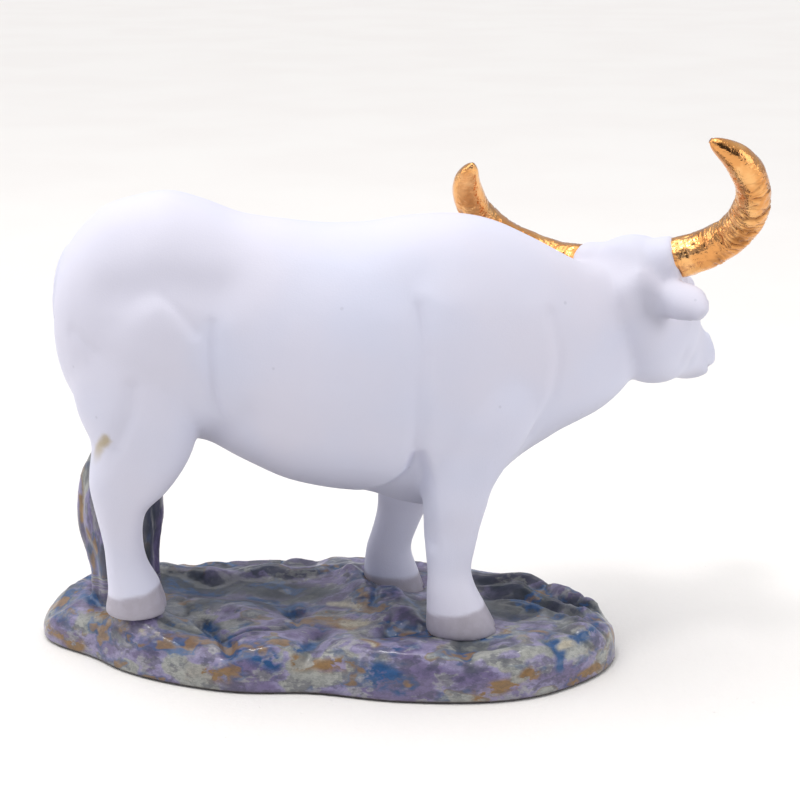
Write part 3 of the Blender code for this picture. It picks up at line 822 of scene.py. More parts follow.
@dataclass
class OxFigure:
    """The white ox: closed lofts for trunk, head, tail, legs and ears, grown into one skin and carved."""

    pose: HeadPose
    voxel: float = 0.72
    smoothing: int = 27
    trunk_square: float = 2.15
    leg_square: float = 2.1
    head_square: float = 2.3
    join_steps: tuple[float, ...] = (0.75, 0.5, 0.25, 0.1)
    join_smoothing: int = 18
    fold_shade: float = 0.12
    belly_shade: float = 0.85
    face_shade: float = 0.4
    cup_reach: float = 2.0
    cup_depth: float = 1.7
    cup_shade: float = 0.45
    unevenness: float = 0.05
    tail_lean: float = 0.35
    nose_share: float = 0.75
    nose_reach: Pair = (4.5, 8.0)
    run_width: float = 1.5
    run_share: float = 0.8
    hoof_wave: float = 0.35
    collar_profile: Row = (1.0, 1.0, 1.0, 0.99, 0.96, 0.88)
    horn_root: float = 5.5
    collar_wall: float = 0.7
    trunk: tuple[Row, ...] = (
        (-65.2, 0.0, 69.5, 78.0, 5.0, 0.0, 0.00), (-64.0, 0.0, 62.0, 86.0, 11.0, 0.0, 0.02),
        (-61.4, 0.0, 55.5, 92.6, 15.0, 0.0, 0.04), (-57.6, 0.0, 49.5, 97.6, 17.8, 0.0, 0.06),
        (-52.0, 0.0, 45.5, 102.2, 20.0, 0.0, 0.08), (-44.0, 0.0, 44.0, 104.6, 21.4, 0.0, 0.08),
        (-37.0, 0.0, 44.8, 105.5, 21.8, 0.0, 0.08), (-29.0, 0.0, 43.8, 103.4, 21.4, 0.0, 0.08),
        (-20.0, 0.0, 39.1, 100.1, 21.6, 0.0, 0.10), (-10.0, 0.0, 34.5, 98.6, 23.0, 0.0, 0.12),
        (0.0, 0.0, 32.2, 97.6, 24.0, 0.0, 0.12), (10.0, 0.0, 30.9, 97.9, 24.0, 0.0, 0.10),
        (18.0, 0.0, 28.2, 99.2, 23.4, 0.0, 0.08), (26.0, 0.0, 27.0, 99.9, 22.4, 0.0, 0.06),
        (34.0, 0.0, 29.0, 99.8, 20.6, 0.0, 0.06), (41.0, 0.0, 34.0, 98.2, 18.2, 3.0, 0.06),
        (47.0, 0.4, 39.8, 95.6, 16.0, 9.0, 0.04), (53.0, 1.8, 43.8, 92.4, 14.2, 20.0, 0.02),
        (59.0, 4.6, 46.2, 88.6, 12.8, 33.0, 0.02), (65.0, 9.0, 48.2, 85.4, 11.8, 43.0, 0.02),
        (70.0, 13.6, 51.6, 84.4, 10.6, 50.0, 0.00), (74.0, 18.4, 57.0, 82.0, 8.0, 53.0, 0.00),
    )
    right_hind_leg: tuple[Row, ...] = (
        (84.0, -56.0, -38.0, -8.0, 7.0), (74.0, -60.0, -31.0, -9.8, 10.0), (64.0, -60.8, -28.5, -11.2, 10.5),
        (54.0, -59.2, -29.5, -12.0, 10.2), (47.0, -56.3, -31.3, -12.4, 9.2),
        (41.0, -56.9, -34.0, -13.0, 8.0), (35.5, -57.3, -37.8, -13.4, 6.8), (29.5, -56.2, -43.4, -13.8, 5.9),
        (24.5, -55.1, -44.7, -14.0, 5.4), (19.5, -54.4, -44.6, -14.0, 5.1), (15.5, -54.2, -43.6, -14.0, 5.3),
        (11.5, -54.0, -41.4, -14.0, 6.0), (8.6, -54.0, -40.5, -14.0, 6.5), (5.8, -54.6, -39.7, -14.0, 6.9),
        (2.6, -55.2, -39.2, -14.0, 7.2),
    )
    right_fore_leg: tuple[Row, ...] = (
        (69.5, 26.0, 50.0, -9.0, 8.0), (54.5, 22.4, 50.0, -11.6, 9.2), (47.5, 22.0, 47.2, -12.4, 8.8),
        (41.5, 22.0, 42.8, -13.6, 7.8), (35.5, 23.2, 39.3, -14.8, 6.8), (30.5, 23.7, 38.2, -15.8, 6.2),
        (24.5, 23.7, 37.2, -16.6, 5.7), (19.2, 24.2, 36.0, -17.2, 5.3), (15.5, 24.6, 35.4, -17.6, 5.1),
        (11.5, 24.5, 36.5, -18.0, 5.7), (7.5, 24.5, 38.5, -18.0, 6.5), (4.0, 24.4, 40.4, -18.0, 7.2),
        (-0.5, 24.2, 42.6, -18.0, 7.7),
    )
    left_fore_leg: tuple[Row, ...] = (
        (60.0, 22.0, 44.0, 9.0, 8.0), (48.0, 14.0, 40.0, 11.0, 9.0), (36.0, 12.2, 33.0, 12.0, 7.8),
        (26.0, 12.3, 27.4, 12.3, 6.4), (20.0, 12.0, 24.8, 12.5, 5.7), (15.0, 10.8, 22.7, 12.5, 5.2),
        (10.0, 9.2, 21.0, 12.5, 5.1), (6.0, 8.7, 21.8, 12.5, 5.8), (2.0, 8.5, 23.3, 12.5, 6.6),
        (-1.5, 8.4, 24.6, 12.5, 7.1), (-5.2, 8.3, 25.8, 12.5, 7.4),
    )
    left_hind_back: float = 7.0
    left_hind_drop: float = 2.6
    left_hind_fade: float = 60.0
    head: tuple[Row, ...] = (
        (-7.0, 1.0, -13.0, 6.0), (-3.5, 5.0, -17.0, 9.4), (1.0, 6.9, -21.0, 11.0), (7.0, 6.6, -24.6, 11.5),
        (14.0, 5.0, -26.4, 11.3), (21.0, 2.8, -25.6, 10.4), (27.0, 0.6, -22.8, 8.6),
        (33.0, -1.4, -20.2, 7.4), (37.5, -2.8, -18.4, 7.3), (41.5, -3.8, -17.4, 7.4),
        (44.8, -5.4, -16.2, 6.6), (47.0, -8.2, -13.8, 4.2),
    )
    ear: tuple[Row, ...] = (
        (7.0, -10.9, 0.0, 4.8, 2.6), (10.0, -11.7, 0.0, 5.4, 2.5), (13.5, -12.5, -0.3, 5.7, 2.3),
        (17.0, -13.4, -0.6, 5.5, 2.0), (20.0, -14.2, -0.6, 4.6, 1.7), (22.2, -14.9, -0.6, 2.2, 1.0),
    )
    left_ear_swing: float = 13.0
    tail: tuple[Row, ...] = (
        (-55.0, 1.5, 97.0, 2.0), (-61.0, 2.0, 91.6, 2.6), (-64.2, 2.4, 83.0, 2.4), (-64.9, 2.6, 74.0, 2.2),
        (-63.8, 2.6, 65.0, 2.3), (-60.6, 2.4, 56.0, 2.7), (-57.6, 2.0, 48.5, 3.0), (-56.0, 1.6, 43.5, 2.0),
    )
    muscles: tuple[Muscle, ...] = (
        Muscle((
            (-37.5, 94.6, 3.0), (-41.8, 92.2, 3.4), (-45.0, 88.6, 4.0), (-48.0, 84.0, 5.0),
            (-50.0, 77.0, 6.0), (-51.0, 69.0, 6.0), (-52.5, 60.0, 6.0), (-54.0, 48.0, 6.0),
            (-40.0, 44.0, 6.0), (-31.5, 56.0, 4.0), (-28.6, 64.0, 2.8), (-27.2, 72.0, 2.2),
            (-27.2, 79.0, 2.0), (-28.4, 84.5, 2.2), (-31.0, 87.9, 2.6), (-34.0, 91.7, 2.8),
        ), 0.9),
        Muscle((
            (-24.2, 88.0, 3.0), (-24.6, 80.0, 2.0), (-24.6, 71.0, 2.0), (-22.0, 62.0, 4.0),
            (-10.0, 52.0, 7.0), (8.0, 48.0, 7.0), (17.5, 50.0, 3.0), (19.8, 58.0, 2.0), (20.6, 66.0, 1.7),
            (20.4, 74.0, 1.7), (21.2, 82.0, 2.2), (20.0, 91.0, 4.0), (10.0, 97.0, 9.0), (-10.0, 97.0, 9.0),
            (-20.0, 94.0, 6.0),
        ), 0.7),
        Muscle((
            (24.0, 95.0, 4.0), (24.9, 88.0, 2.2), (25.2, 81.0, 1.8), (24.2, 73.0, 1.7), (24.2, 65.0, 1.6),
            (23.2, 57.0, 1.5), (24.0, 47.0, 2.0), (26.0, 40.0, 4.0), (42.0, 40.0, 6.0), (46.8, 52.0, 3.2),
            (50.8, 60.0, 2.4), (53.6, 68.0, 2.2), (54.6, 76.0, 2.4), (54.2, 84.0, 3.0), (52.0, 92.0, 5.0),
            (45.0, 98.0, 9.0), (33.0, 100.0, 9.0),
        ), 1.0),
    )
    scoops: tuple[Muscle, ...] = (
        Muscle((
            (3.0, 40.5, 2.0), (9.0, 43.6, 1.2), (15.0, 47.4, 0.9), (19.4, 52.0, 0.8), (21.2, 57.0, 0.9),
            (23.2, 57.5, 1.5), (25.5, 50.0, 2.0), (25.5, 34.0, 3.0), (6.0, 34.0, 3.0),
        ), 3.4),
    )
    folds: tuple[Fold, ...] = (
        Fold((
            (22.2, 20.0, 82.0), (22.8, 20.7, 75.0), (22.0, 21.5, 66.0), (21.6, 22.0, 58.0),
            (21.4, 21.5, 48.0),
        ), 1.0, -0.55),
        Fold(((-25.6, 20.5, 78.0), (-26.2, 21.0, 70.0), (-25.8, 21.0, 62.0), (-24.6, 20.0, 55.0)), 1.2, -0.6),
        Fold(((-37.0, 20.0, 84.6), (-33.2, 20.8, 81.0), (-29.2, 21.4, 76.0)), 1.2, -0.4),
        Fold(((53.5, 12.0, 78.0), (55.6, 12.0, 68.0), (54.2, 12.2, 58.5), (49.0, 12.5, 49.0)), 1.6, -0.5),
        Fold(((33.0, 20.0, 80.0), (36.0, 20.0, 60.0)), 8.0, 0.5),
        Fold(((-37.5, 21.5, 76.0), (-40.0, 22.0, 66.0), (-43.0, 22.0, 52.0)), 6.5, 0.5),
        Fold(((-48.0, 20.5, 85.0), (-36.0, 20.5, 87.5), (-24.0, 19.5, 86.0)), 5.0, -0.9),
        Fold(((-18.0, 20.3, 57.0), (-25.0, 17.5, 51.5), (-29.5, 10.0, 46.0)), 3.4, -0.9),
        Fold(((-44.5, 22.4, 63.0), (-45.0, 22.8, 57.0), (-49.0, 21.5, 48.5)), 2.0, -0.9),
        Fold(((-58.4, 17.1, 75.4), (-53.0, 19.7, 71.0)), 1.5, -0.35, Side.RIGHT),
        Fold(((61.0, 18.0, 58.0), (57.0, 17.0, 75.0)), 2.2, -0.6, Side.LEFT),
        Fold(((54.0, 16.0, 54.0), (50.0, 16.0, 76.0)), 2.6, -0.5, Side.LEFT),
        Fold(((-50.0, 3.0, 50.0), (-58.0, 8.0, 60.0), (-62.0, 5.5, 80.0)), 2.4, -0.7),
        Fold(((26.0, 0.0, 30.0), (40.0, 0.0, 36.0), (52.0, 2.0, 46.0)), 4.0, 0.5),
    )
    face: tuple[Fold, ...] = (
        Fold(((14.0, -1.4, 10.8), (15.4, -1.8, 10.6)), 1.9, 2.2),
        Fold(((10.6, -2.2, 11.2), (12.2, 1.2, 10.6), (15.0, 1.8, 10.2), (18.4, -0.8, 10.0)), 1.2, 1.5),
        Fold(((10.6, -3.2, 11.2), (12.8, -5.2, 11.2), (16.2, -5.0, 10.8), (18.6, -2.4, 10.2)), 1.0, 0.9),
        Fold(((11.6, -1.4, 11.2), (13.6, 0.5, 10.8), (17.2, -0.8, 10.2)), 0.8, -1.2),
        Fold(((11.6, -3.0, 11.2), (14.2, -4.3, 11.1), (17.4, -3.0, 10.4)), 0.8, -1.1),
        Fold(((8.0, 0.8, 11.0), (12.0, 2.4, 10.4), (17.0, 1.2, 9.8)), 1.8, 0.8),
        Fold(((6.0, 3.4, 9.0), (14.0, 1.6, 9.6)), 2.4, 0.6),
        Fold(((14.0, -12.0, 11.0), (24.0, -9.0, 9.6)), 3.0, 0.7),
        Fold(((18.0, -20.0, 9.0), (27.0, -18.0, 7.6)), 3.0, -0.6),
        Fold(((43.2, -6.4, 3.8), (45.0, -7.6, 4.6), (45.2, -9.4, 4.8)), 1.3, -2.6),
        Fold(((41.4, -5.0, 5.8), (43.4, -4.4, 4.0), (45.4, -5.6, 2.8)), 1.2, 0.9),
        Fold(((26.0, 1.0, 0.0), (36.0, -1.6, 0.0)), 3.0, 0.5),
        Fold(((34.0, -15.0, 8.4), (40.0, -14.8, 7.6), (46.0, -13.9, 5.6), (47.8, -13.6, 0.0)), 1.0, -1.6),
        Fold(((36.0, -17.0, 7.6), (43.0, -16.2, 6.4)), 1.6, 0.4),
    )
    marks: tuple[Mark, ...] = (
        Mark(((77.4, -0.8, 91.5), (79.0, -1.2, 87.0), (81.5, -0.6, 84.2)), 0.4, 2.6, 0.8, 2.8),
        Mark(((75.6, -1.6, 96.0), (80.0, -4.0, 94.6)), 1.2, 2.6),
        Mark(((68.0, 3.0, 94.2), (71.0, 0.2, 90.6)), 1.9, 4.6),
        Mark(((80.5, -1.2, 88.4), (83.5, -3.0, 86.8), (86.8, -6.6, 86.0)), -0.5, 2.0, 0.85, 3.3),
        Mark(((65.0, 8.0, 97.0), (75.0, 4.5, 99.0)), 0.0, 1.0, 0.35, 6.0),
    )
    joins: tuple[tuple[tuple[Point, ...], float], ...] = (
        (((65.5, 3.5, 97.0), (68.0, 1.6, 93.5), (70.5, -0.2, 89.5)), 5.0),
        (((78.0, -0.8, 92.0), (79.6, -1.2, 88.0), (81.8, -1.4, 85.4)), 2.6),
    )
    hoof_tops: tuple[tuple[float, float], ...] = ((5.0, 2.9), (5.8, 1.9), (8.5, -1.0), (5.0, 2.9))
    hoof_cleft: Row = (2.0, 6.0, 1.1, -1.2)
    nose_tip: Point = (46.4, -11.0, 0.0)
    glaze_run: tuple[Point, ...] = ((-51.4, -20.8, 60.3), (-53.0, -18.8, 57.8), (-55.0, -17.2, 53.0))

    def trunk_grid(self, sides: int = 64) -> Array:
        """Upright sections along the back: middle + up * half height, out * half width * (1 - egg * up)."""
        along, aside, low, high, half, heading, egg = (column[:, None] for column in spline(self.trunk, 6).T)
        up, out = section(sides, self.trunk_square)
        heading = np.radians(heading)
        out = out * half * (1 - egg * up)
        height = (low + high) / 2 + up * (high - low) / 2
        return np.stack([along - np.sin(heading) * out, aside + np.cos(heading) * out, height], -1)

    def left_hind_leg(self) -> tuple[Row, ...]:
        """The far hind leg: the near one mirrored, a little further back and lower at the foot."""
        rows = []
        for height, rear, front, aside, half in self.right_hind_leg:
            fade = max(0.0, 1 - height / self.left_hind_fade)
            back = self.left_hind_back * fade
            rows.append((height - self.left_hind_drop * fade, rear - back, front - back, -aside, half))
        return tuple(rows)

    def legs(self) -> tuple[tuple[Row, ...], ...]:
        """The four legs' rows: right hind, right fore, left fore and left hind."""
        return (self.right_hind_leg, self.right_fore_leg, self.left_fore_leg, self.left_hind_leg())

    def leg_grid(self, leg: tuple[Row, ...], sides: int = 40) -> Array:
        """Level sections down a leg: middle + ahead * half length along x, and out * half width across."""
        height, rear, front, aside, half = (column[:, None] for column in spline(leg, 6).T)
        ahead, out = section(sides, self.leg_square)
        along = (rear + front) / 2 + ahead * (front - rear) / 2
        return np.stack([along, aside + out * half, height + 0 * along], -1)

    def head_grid(self, sides: int = 48) -> Array:
        """Sections square to the head: poll + along * forward + rise * up + out * half width * right."""
        forward, right, up = self.pose.axes(self.pose.pitch)
        along, high, low, half = (column[:, None, None] for column in spline(self.head, 6).T)
        lift, out = (value[None, :, None] for value in section(sides, self.head_square))
        rise = (high + low) / 2 + lift * (high - low) / 2
        return np.array(self.pose.poll) + along * forward + rise * up + out * half * right

    def ear_grid(self, side: Side, sides: int = 28) -> Array:
        """Flat ovals along an ear: line + lift * half breadth * up + front * half thickness * forward."""
        forward, right, up = self.pose.axes(self.pose.pitch)
        out, rise, ahead, broad, thick = (column[:, None, None] for column in spline(self.ear, 6).T)
        lift, front = (value[None, :, None] for value in section(sides, 2.0))
        if side is Side.LEFT:
            ahead = ahead + self.left_ear_swing * (out - out.min()) / np.ptp(out)
        line = np.array(self.pose.poll) + side.value * out * right + rise * up + ahead * forward
        return line + lift * broad * up + front * thick * forward

    def ear_line(self, side: Side) -> tuple[Point, ...]:
        """The middle of an ear's cup, from near its root to near its tip."""
        line = []
        for out, rise, ahead, _, thick in self.ear[1:5]:
            if side is Side.LEFT:
                ahead += self.left_ear_swing * (out - self.ear[0][0]) / (self.ear[-1][0] - self.ear[0][0])
            line.append((ahead + thick, rise, out))
        return self.pose.place(tuple(line), side)

    def tail_grid(self, sides: int = 24) -> Array:
        """Round sections down the tail: its line + cosine and sine of the turn times the radius."""
        along, aside, height, radius = (column[:, None] for column in spline(self.tail, 6).T)
        ahead, out = section(sides, 2.0)
        rise = self.tail_lean * ahead * radius
        return np.stack([along + ahead * radius, aside + out * radius, height + rise], -1)

    def collar_grid(self, horn: "Horn") -> Array:
        """The short stub of the head that a horn seats on: a tube a little wider than the horn's root."""
        line = horn.line(np.linspace(0, horn.collar_reach, len(self.collar_profile)))
        radius = (self.horn_root + self.collar_wall) * np.array(self.collar_profile)
        return tube(line, radius, 32)

    def relief(self, points: Array, normals: Array) -> tuple[Array, Array]:
        """How far each point moves out and how much painted shade it gets in creases and underneath.

        Each fold is a bell around its line, and a fold on both sides is read with y without its sign.

        Args:
            points: The skin's points in the figure's millimetres.
            normals: Its directions.

        Returns:
            The rise of each point, and a mask of painted shade in the creases, recesses and underside.
        """
        above = points - (0.0, 0.0, BASE_TOP)
        both = above * (1, 0, 1) + np.abs(above) * (0, 1, 0)
        rise = np.zeros(len(points))
        hollow_shade = np.zeros(len(points))
        for fold in self.folds:
            bell = swell(both, fold.line, fold.reach)
            if fold.side is not Side.BOTH:
                bell = bell * (above[:, 1] * fold.side.value < 0)
            rise += fold.rise * bell
            # Painted shade along each crease.
            hollow_shade += self.fold_shade * max(-fold.rise, 0.0) * bell
        aside = ease(both[:, 1], 5.0, 12.0)
        for muscle in self.muscles:
            rise += muscle.rise * aside * inside_share(points[:, ::2], muscle.outline)
        # Painted shade on the underside: darker where the skin faces down, lower on the body.
        hollow_shade += self.belly_shade * ease(-normals[:, 2], 0.2, 0.9) * (1 - ease(points[:, 2], 62.0, 72.0))
        for fold in self.face:
            for side in (Side.RIGHT, Side.LEFT):
                bell = swell(points, self.pose.place(fold.line, side), fold.reach)
                rise += fold.rise * bell
                hollow_shade += self.face_shade * max(-fold.rise, 0.0) * bell
        # Marks paint shade at the ear's root and between the horns.
        for mark in self.marks:
            rise += mark.rise * swell(points, mark.line, mark.reach)
            hollow_shade += mark.shade * swell(points, mark.line, mark.shade_reach)
        forward = self.pose.axes(self.pose.pitch)[0]
        for side in (Side.RIGHT, Side.LEFT):
            cup = swell(points, self.ear_line(side), self.cup_reach) * ease(normals @ forward, 0.1, 0.7)
            rise -= self.cup_depth * cup
            hollow_shade += self.cup_shade * cup
        rise += self.clefts(points)
        rise += self.unevenness * clouds(points, 7.0, 2, 3)
        return rise, hollow_shade

    def scooped(self, points: Array) -> Array:
        """How far the skin behind each elbow is drawn in to the middle: its scoop, where it is far out."""
        aside = ease(np.abs(points[:, 1]), 3.0, 15.0)
        return sum(scoop.rise * aside * inside_share(points[:, ::2], scoop.outline) for scoop in self.scoops)

    def clefts(self, points: Array) -> Array:
        """The cleft at the front of each hoof."""
        back, up, reach, depth = self.hoof_cleft
        total = np.zeros(len(points))
        for leg in self.legs():
            height, _, front, aside, _ = leg[-1]
            sole = height + BASE_TOP
            total += depth * swell(points, ((front, aside, sole), (front - back, aside, sole + up)), reach)
        return total

    def hoof_mask(self, points: Array) -> Array:
        """Where a hoof is washed grey: under a border that slopes from its rear to its front."""
        mask = np.zeros(len(points))
        wave = self.hoof_wave * clouds(points, 4.0, 2, 11)
        for leg, (rear_top, slope) in zip(self.legs(), self.hoof_tops):
            height, rear, front, aside, half = leg[-1]
            share = (points[:, 0] - rear) / (front - rear)
            border = height + BASE_TOP + rear_top + slope * share + wave
            near = (np.abs(points[:, 1] - aside) < half + 3) & (share > -0.4) & (share < 1.4)
            mask = np.maximum(mask, near * (1 - ease(points[:, 2] - border, -0.6, 0.7)))
        return mask

    def build(self, horns: tuple["Horn", "Horn"]) -> bpy.types.Object:
        """The ox as one piece.

        Args:
            horns: The two horns, which the collars follow.

        Returns:
            The finished object, without its material.
        """
        lift = np.array([0.0, 0.0, BASE_TOP])
        grids = [self.trunk_grid() + lift, self.head_grid(), self.tail_grid() + lift]
        grids += [self.leg_grid(leg) + lift for leg in self.legs()]
        grids += [self.ear_grid(side) for side in (Side.RIGHT, Side.LEFT)]
        grids += [self.collar_grid(horn) for horn in horns]
        piece = new_piece("ox_bisque", grids)
        rework(piece, "REMESH", mode="VOXEL", voxel_size=self.voxel * MILLIMETRE)
        rework(piece, "SMOOTH", factor=0.5, iterations=self.smoothing)
        points, normals = skin(piece)
        rise, hollow_shade = self.relief(points, normals)
        moved = points + normals * rise[:, None]
        moved[:, 1] -= np.sign(points[:, 1]) * self.scooped(points)
        set_coordinates(piece.data, to_frame(moved))
        rework(piece, "SMOOTH", factor=0.5, iterations=2)
        self.blend(piece, np.max([swell(points, line, reach) for line, reach in self.joins], axis=0))
        fit_to_node(piece, "ox")
        self.paint(piece.data, points, hollow_shade)
        piece.data.shade_smooth()
        return piece

    def blend(self, piece: bpy.types.Object, share: Array) -> None:
        """Smooths the skin where two forms meet: each step of the share takes in a wider patch."""
        for least in self.join_steps:
            patch = piece.vertex_groups.new(name="join")
            patch.add(np.flatnonzero(share > least).tolist(), 1.0, "REPLACE")
            rework(piece, "SMOOTH", factor=0.5, iterations=self.join_smoothing, vertex_group=patch.name)
            piece.vertex_groups.clear()

    def paint(self, mesh: bpy.types.Mesh, points: Array, hollow_shade: Array) -> None:
        """Keeps the masks of painted shade, hooves, nose and the run of glaze on the mesh."""
        tip = self.pose.place((self.nose_tip,), Side.RIGHT)[0]
        away = np.linalg.norm(points - np.array(tip), axis=1) + 0.8 * cloud(points, 3.0, 5)
        under = ease(points[:, 2] - BASE_TOP, 30.0, 45.0)
        set_mask(mesh, "hollow_shade", hollow_shade)
        set_mask(mesh, "hoof", self.hoof_mask(points))
        set_mask(mesh, "nose", self.nose_share * (1 - ease(away, *self.nose_reach)) * under)
        run = swell(points + 0.9 * cloud(points, 1.7, 9)[:, None], self.glaze_run, self.run_width)
        set_mask(mesh, "run", self.run_share * ease(run, 0.1, 0.9) * ease(points[:, 2], 52.0, 59.5))


@dataclass
class Horn:
    """A gilded horn: a round profile carried along a curve, with fine ridges across it."""

    pose: HeadPose
    side: Side
    length: float = 51.1
    root_radius: float = 5.5
    tip_radius: float = 3.6
    taper: float = 1.4
    collar_reach: float = 0.13
    tip_start: float = 0.80
    tip_flat: float = 0.2
    rings: int = 360
    sides: int = 96
    curve: tuple[Row, ...] = (
        (7.5, -0.4, -1.4), (12.3, 0.0, -0.8), (18.2, 0.3, 0.6), (23.8, 2.1, 1.9), (28.7, 5.7, 2.6),
        (32.5, 10.5, 3.25), (34.9, 16.2, 3.75), (35.4, 22.4, 4.1), (33.8, 28.9, 4.4), (29.7, 35.2, 4.5),
    )
    polygon_share: float = 0.975
    ridge_pitch: float = 1.05
    ridge_depth: float = 0.34
    lump_depth: float = 0.42
    ridge_drift: float = 0.6
    fine_share: float = 0.6
    bank_wave: float = 0.28
    bead_rise: float = 0.16
    dent_depth: float = 0.15
    seam_width: float = 0.42
    seam_depth: float = 0.8
    bank_turn: float = 1.9
    body_share: float = 0.78
    cap_turn: float = 0.49
    smooth_end: Pair = (0.66, 0.88)

    def line(self, shares: Array) -> Array:
        """Places along the middle line, from 0 inside the head to 1 at the tip.

        Args:
            shares: How far along each place is.

        Returns:
            The places in the figure's millimetres.
        """
        forward, right, up = self.pose.axes(self.pose.horn_pitch)
        fine = spline(self.curve, 12)
        at = np.linspace(0, 1, len(fine))
        out, back, rise = (np.interp(shares, at, column)[:, None] for column in fine.T)
        return np.array(self.pose.poll) + self.side.value * out * right - back * forward + rise * up

    def build(self) -> bpy.types.Object:
        """The horn: radius = root * narrowing * round end, less the ridges and lumps, which only cut in.

        Returns:
            The finished object, without its material.
        """
        body = np.linspace(0, self.tip_start, int(self.rings * self.body_share))
        cap = np.sin(np.linspace(0, self.cap_turn * math.pi, self.rings // 4)[1:])
        shares = np.concatenate([body, self.tip_start + (1 - self.tip_start) * cap])
        narrowing = 1 - (1 - self.tip_radius / self.root_radius) * shares**self.taper
        round_end = np.sqrt(1 - ((shares - self.tip_start) / (1 - self.tip_start)).clip(0) ** 2)
        radius = self.root_radius * self.polygon_share * narrowing * np.maximum(round_end, self.tip_flat)
        line = self.line(shares)
        grid = tube(line, radius, self.sides)
        points = grid.reshape(-1, 3)
        travel = np.repeat(shares * self.length, self.sides)
        turn = np.tile(np.arange(self.sides) * 2 * math.pi / self.sides, len(shares))
        fade = 1 - ease(np.repeat(shares, self.sides), *self.smooth_end)
        streaked = np.column_stack([travel, 1.1 * np.cos(turn), 1.1 * np.sin(turn)])
        drift = self.ridge_drift * clouds(points, 4.0, 2, 21)[:, None] * (1.0, 0.0, 0.0)
        coarse = np.abs(clouds(streaked + drift, self.ridge_pitch * 1.5, 2, 23))
        fine = np.abs(clouds(streaked + drift, self.ridge_pitch * 0.8, 2, 25))
        patchy = ease(clouds(points, 5.0, 3, 31), -0.6, 0.3)
        inner = 0.5 + 0.5 * ease(-np.cos(turn - self.side.value * 0.5), -0.5, 0.6)
        wrinkle = (1 - ease(coarse, 0.0, 0.34)) + self.fine_share * (1 - ease(fine, 0.0, 0.3))
        beads = ease(cloud(points, 1.5, 37), 0.52, 0.8) * ease(clouds(points, 7.0, 2, 39), 0.0, 0.5)
        bank = turn - self.bank_turn - self.bank_wave * clouds(points, 3.2, 3, 35)
        seam = np.exp(-((np.sin(bank / 2) * 2 * self.root_radius / self.seam_width) ** 2))
        seam *= ease(travel, 7.0, 14.0)
        groove = np.clip(wrinkle * patchy * inner, 0, 1.3) * fade + self.seam_depth * seam * fade
        lumps = 0.5 + 0.5 * clouds(points, 4.2, 4, 41)
        dents = ease(cloud(points, 1.3, 43), 0.25, 0.75) * ease(clouds(points, 6.0, 2, 45), -0.2, 0.4)
        cut = self.ridge_depth * groove + self.lump_depth * lumps * (0.35 + 0.65 * fade)
        cut = np.maximum(cut - self.bead_rise * beads * fade + self.dent_depth * dents, 0.0)
        middle = np.repeat(line, self.sides, axis=0)
        away = points - middle
        away /= np.maximum(np.linalg.norm(away, axis=1), 1e-9)[:, None]
        carved = points - away * cut[:, None]
        piece = new_piece(f"horn_{self.side.name.lower()}_gilded", [carved.reshape(grid.shape)])
        # Mask of painted shade for the gilding, in the wrinkles and along the seam.
        set_mask(piece.data, "groove", groove)
        piece.data.shade_smooth()
        return piece


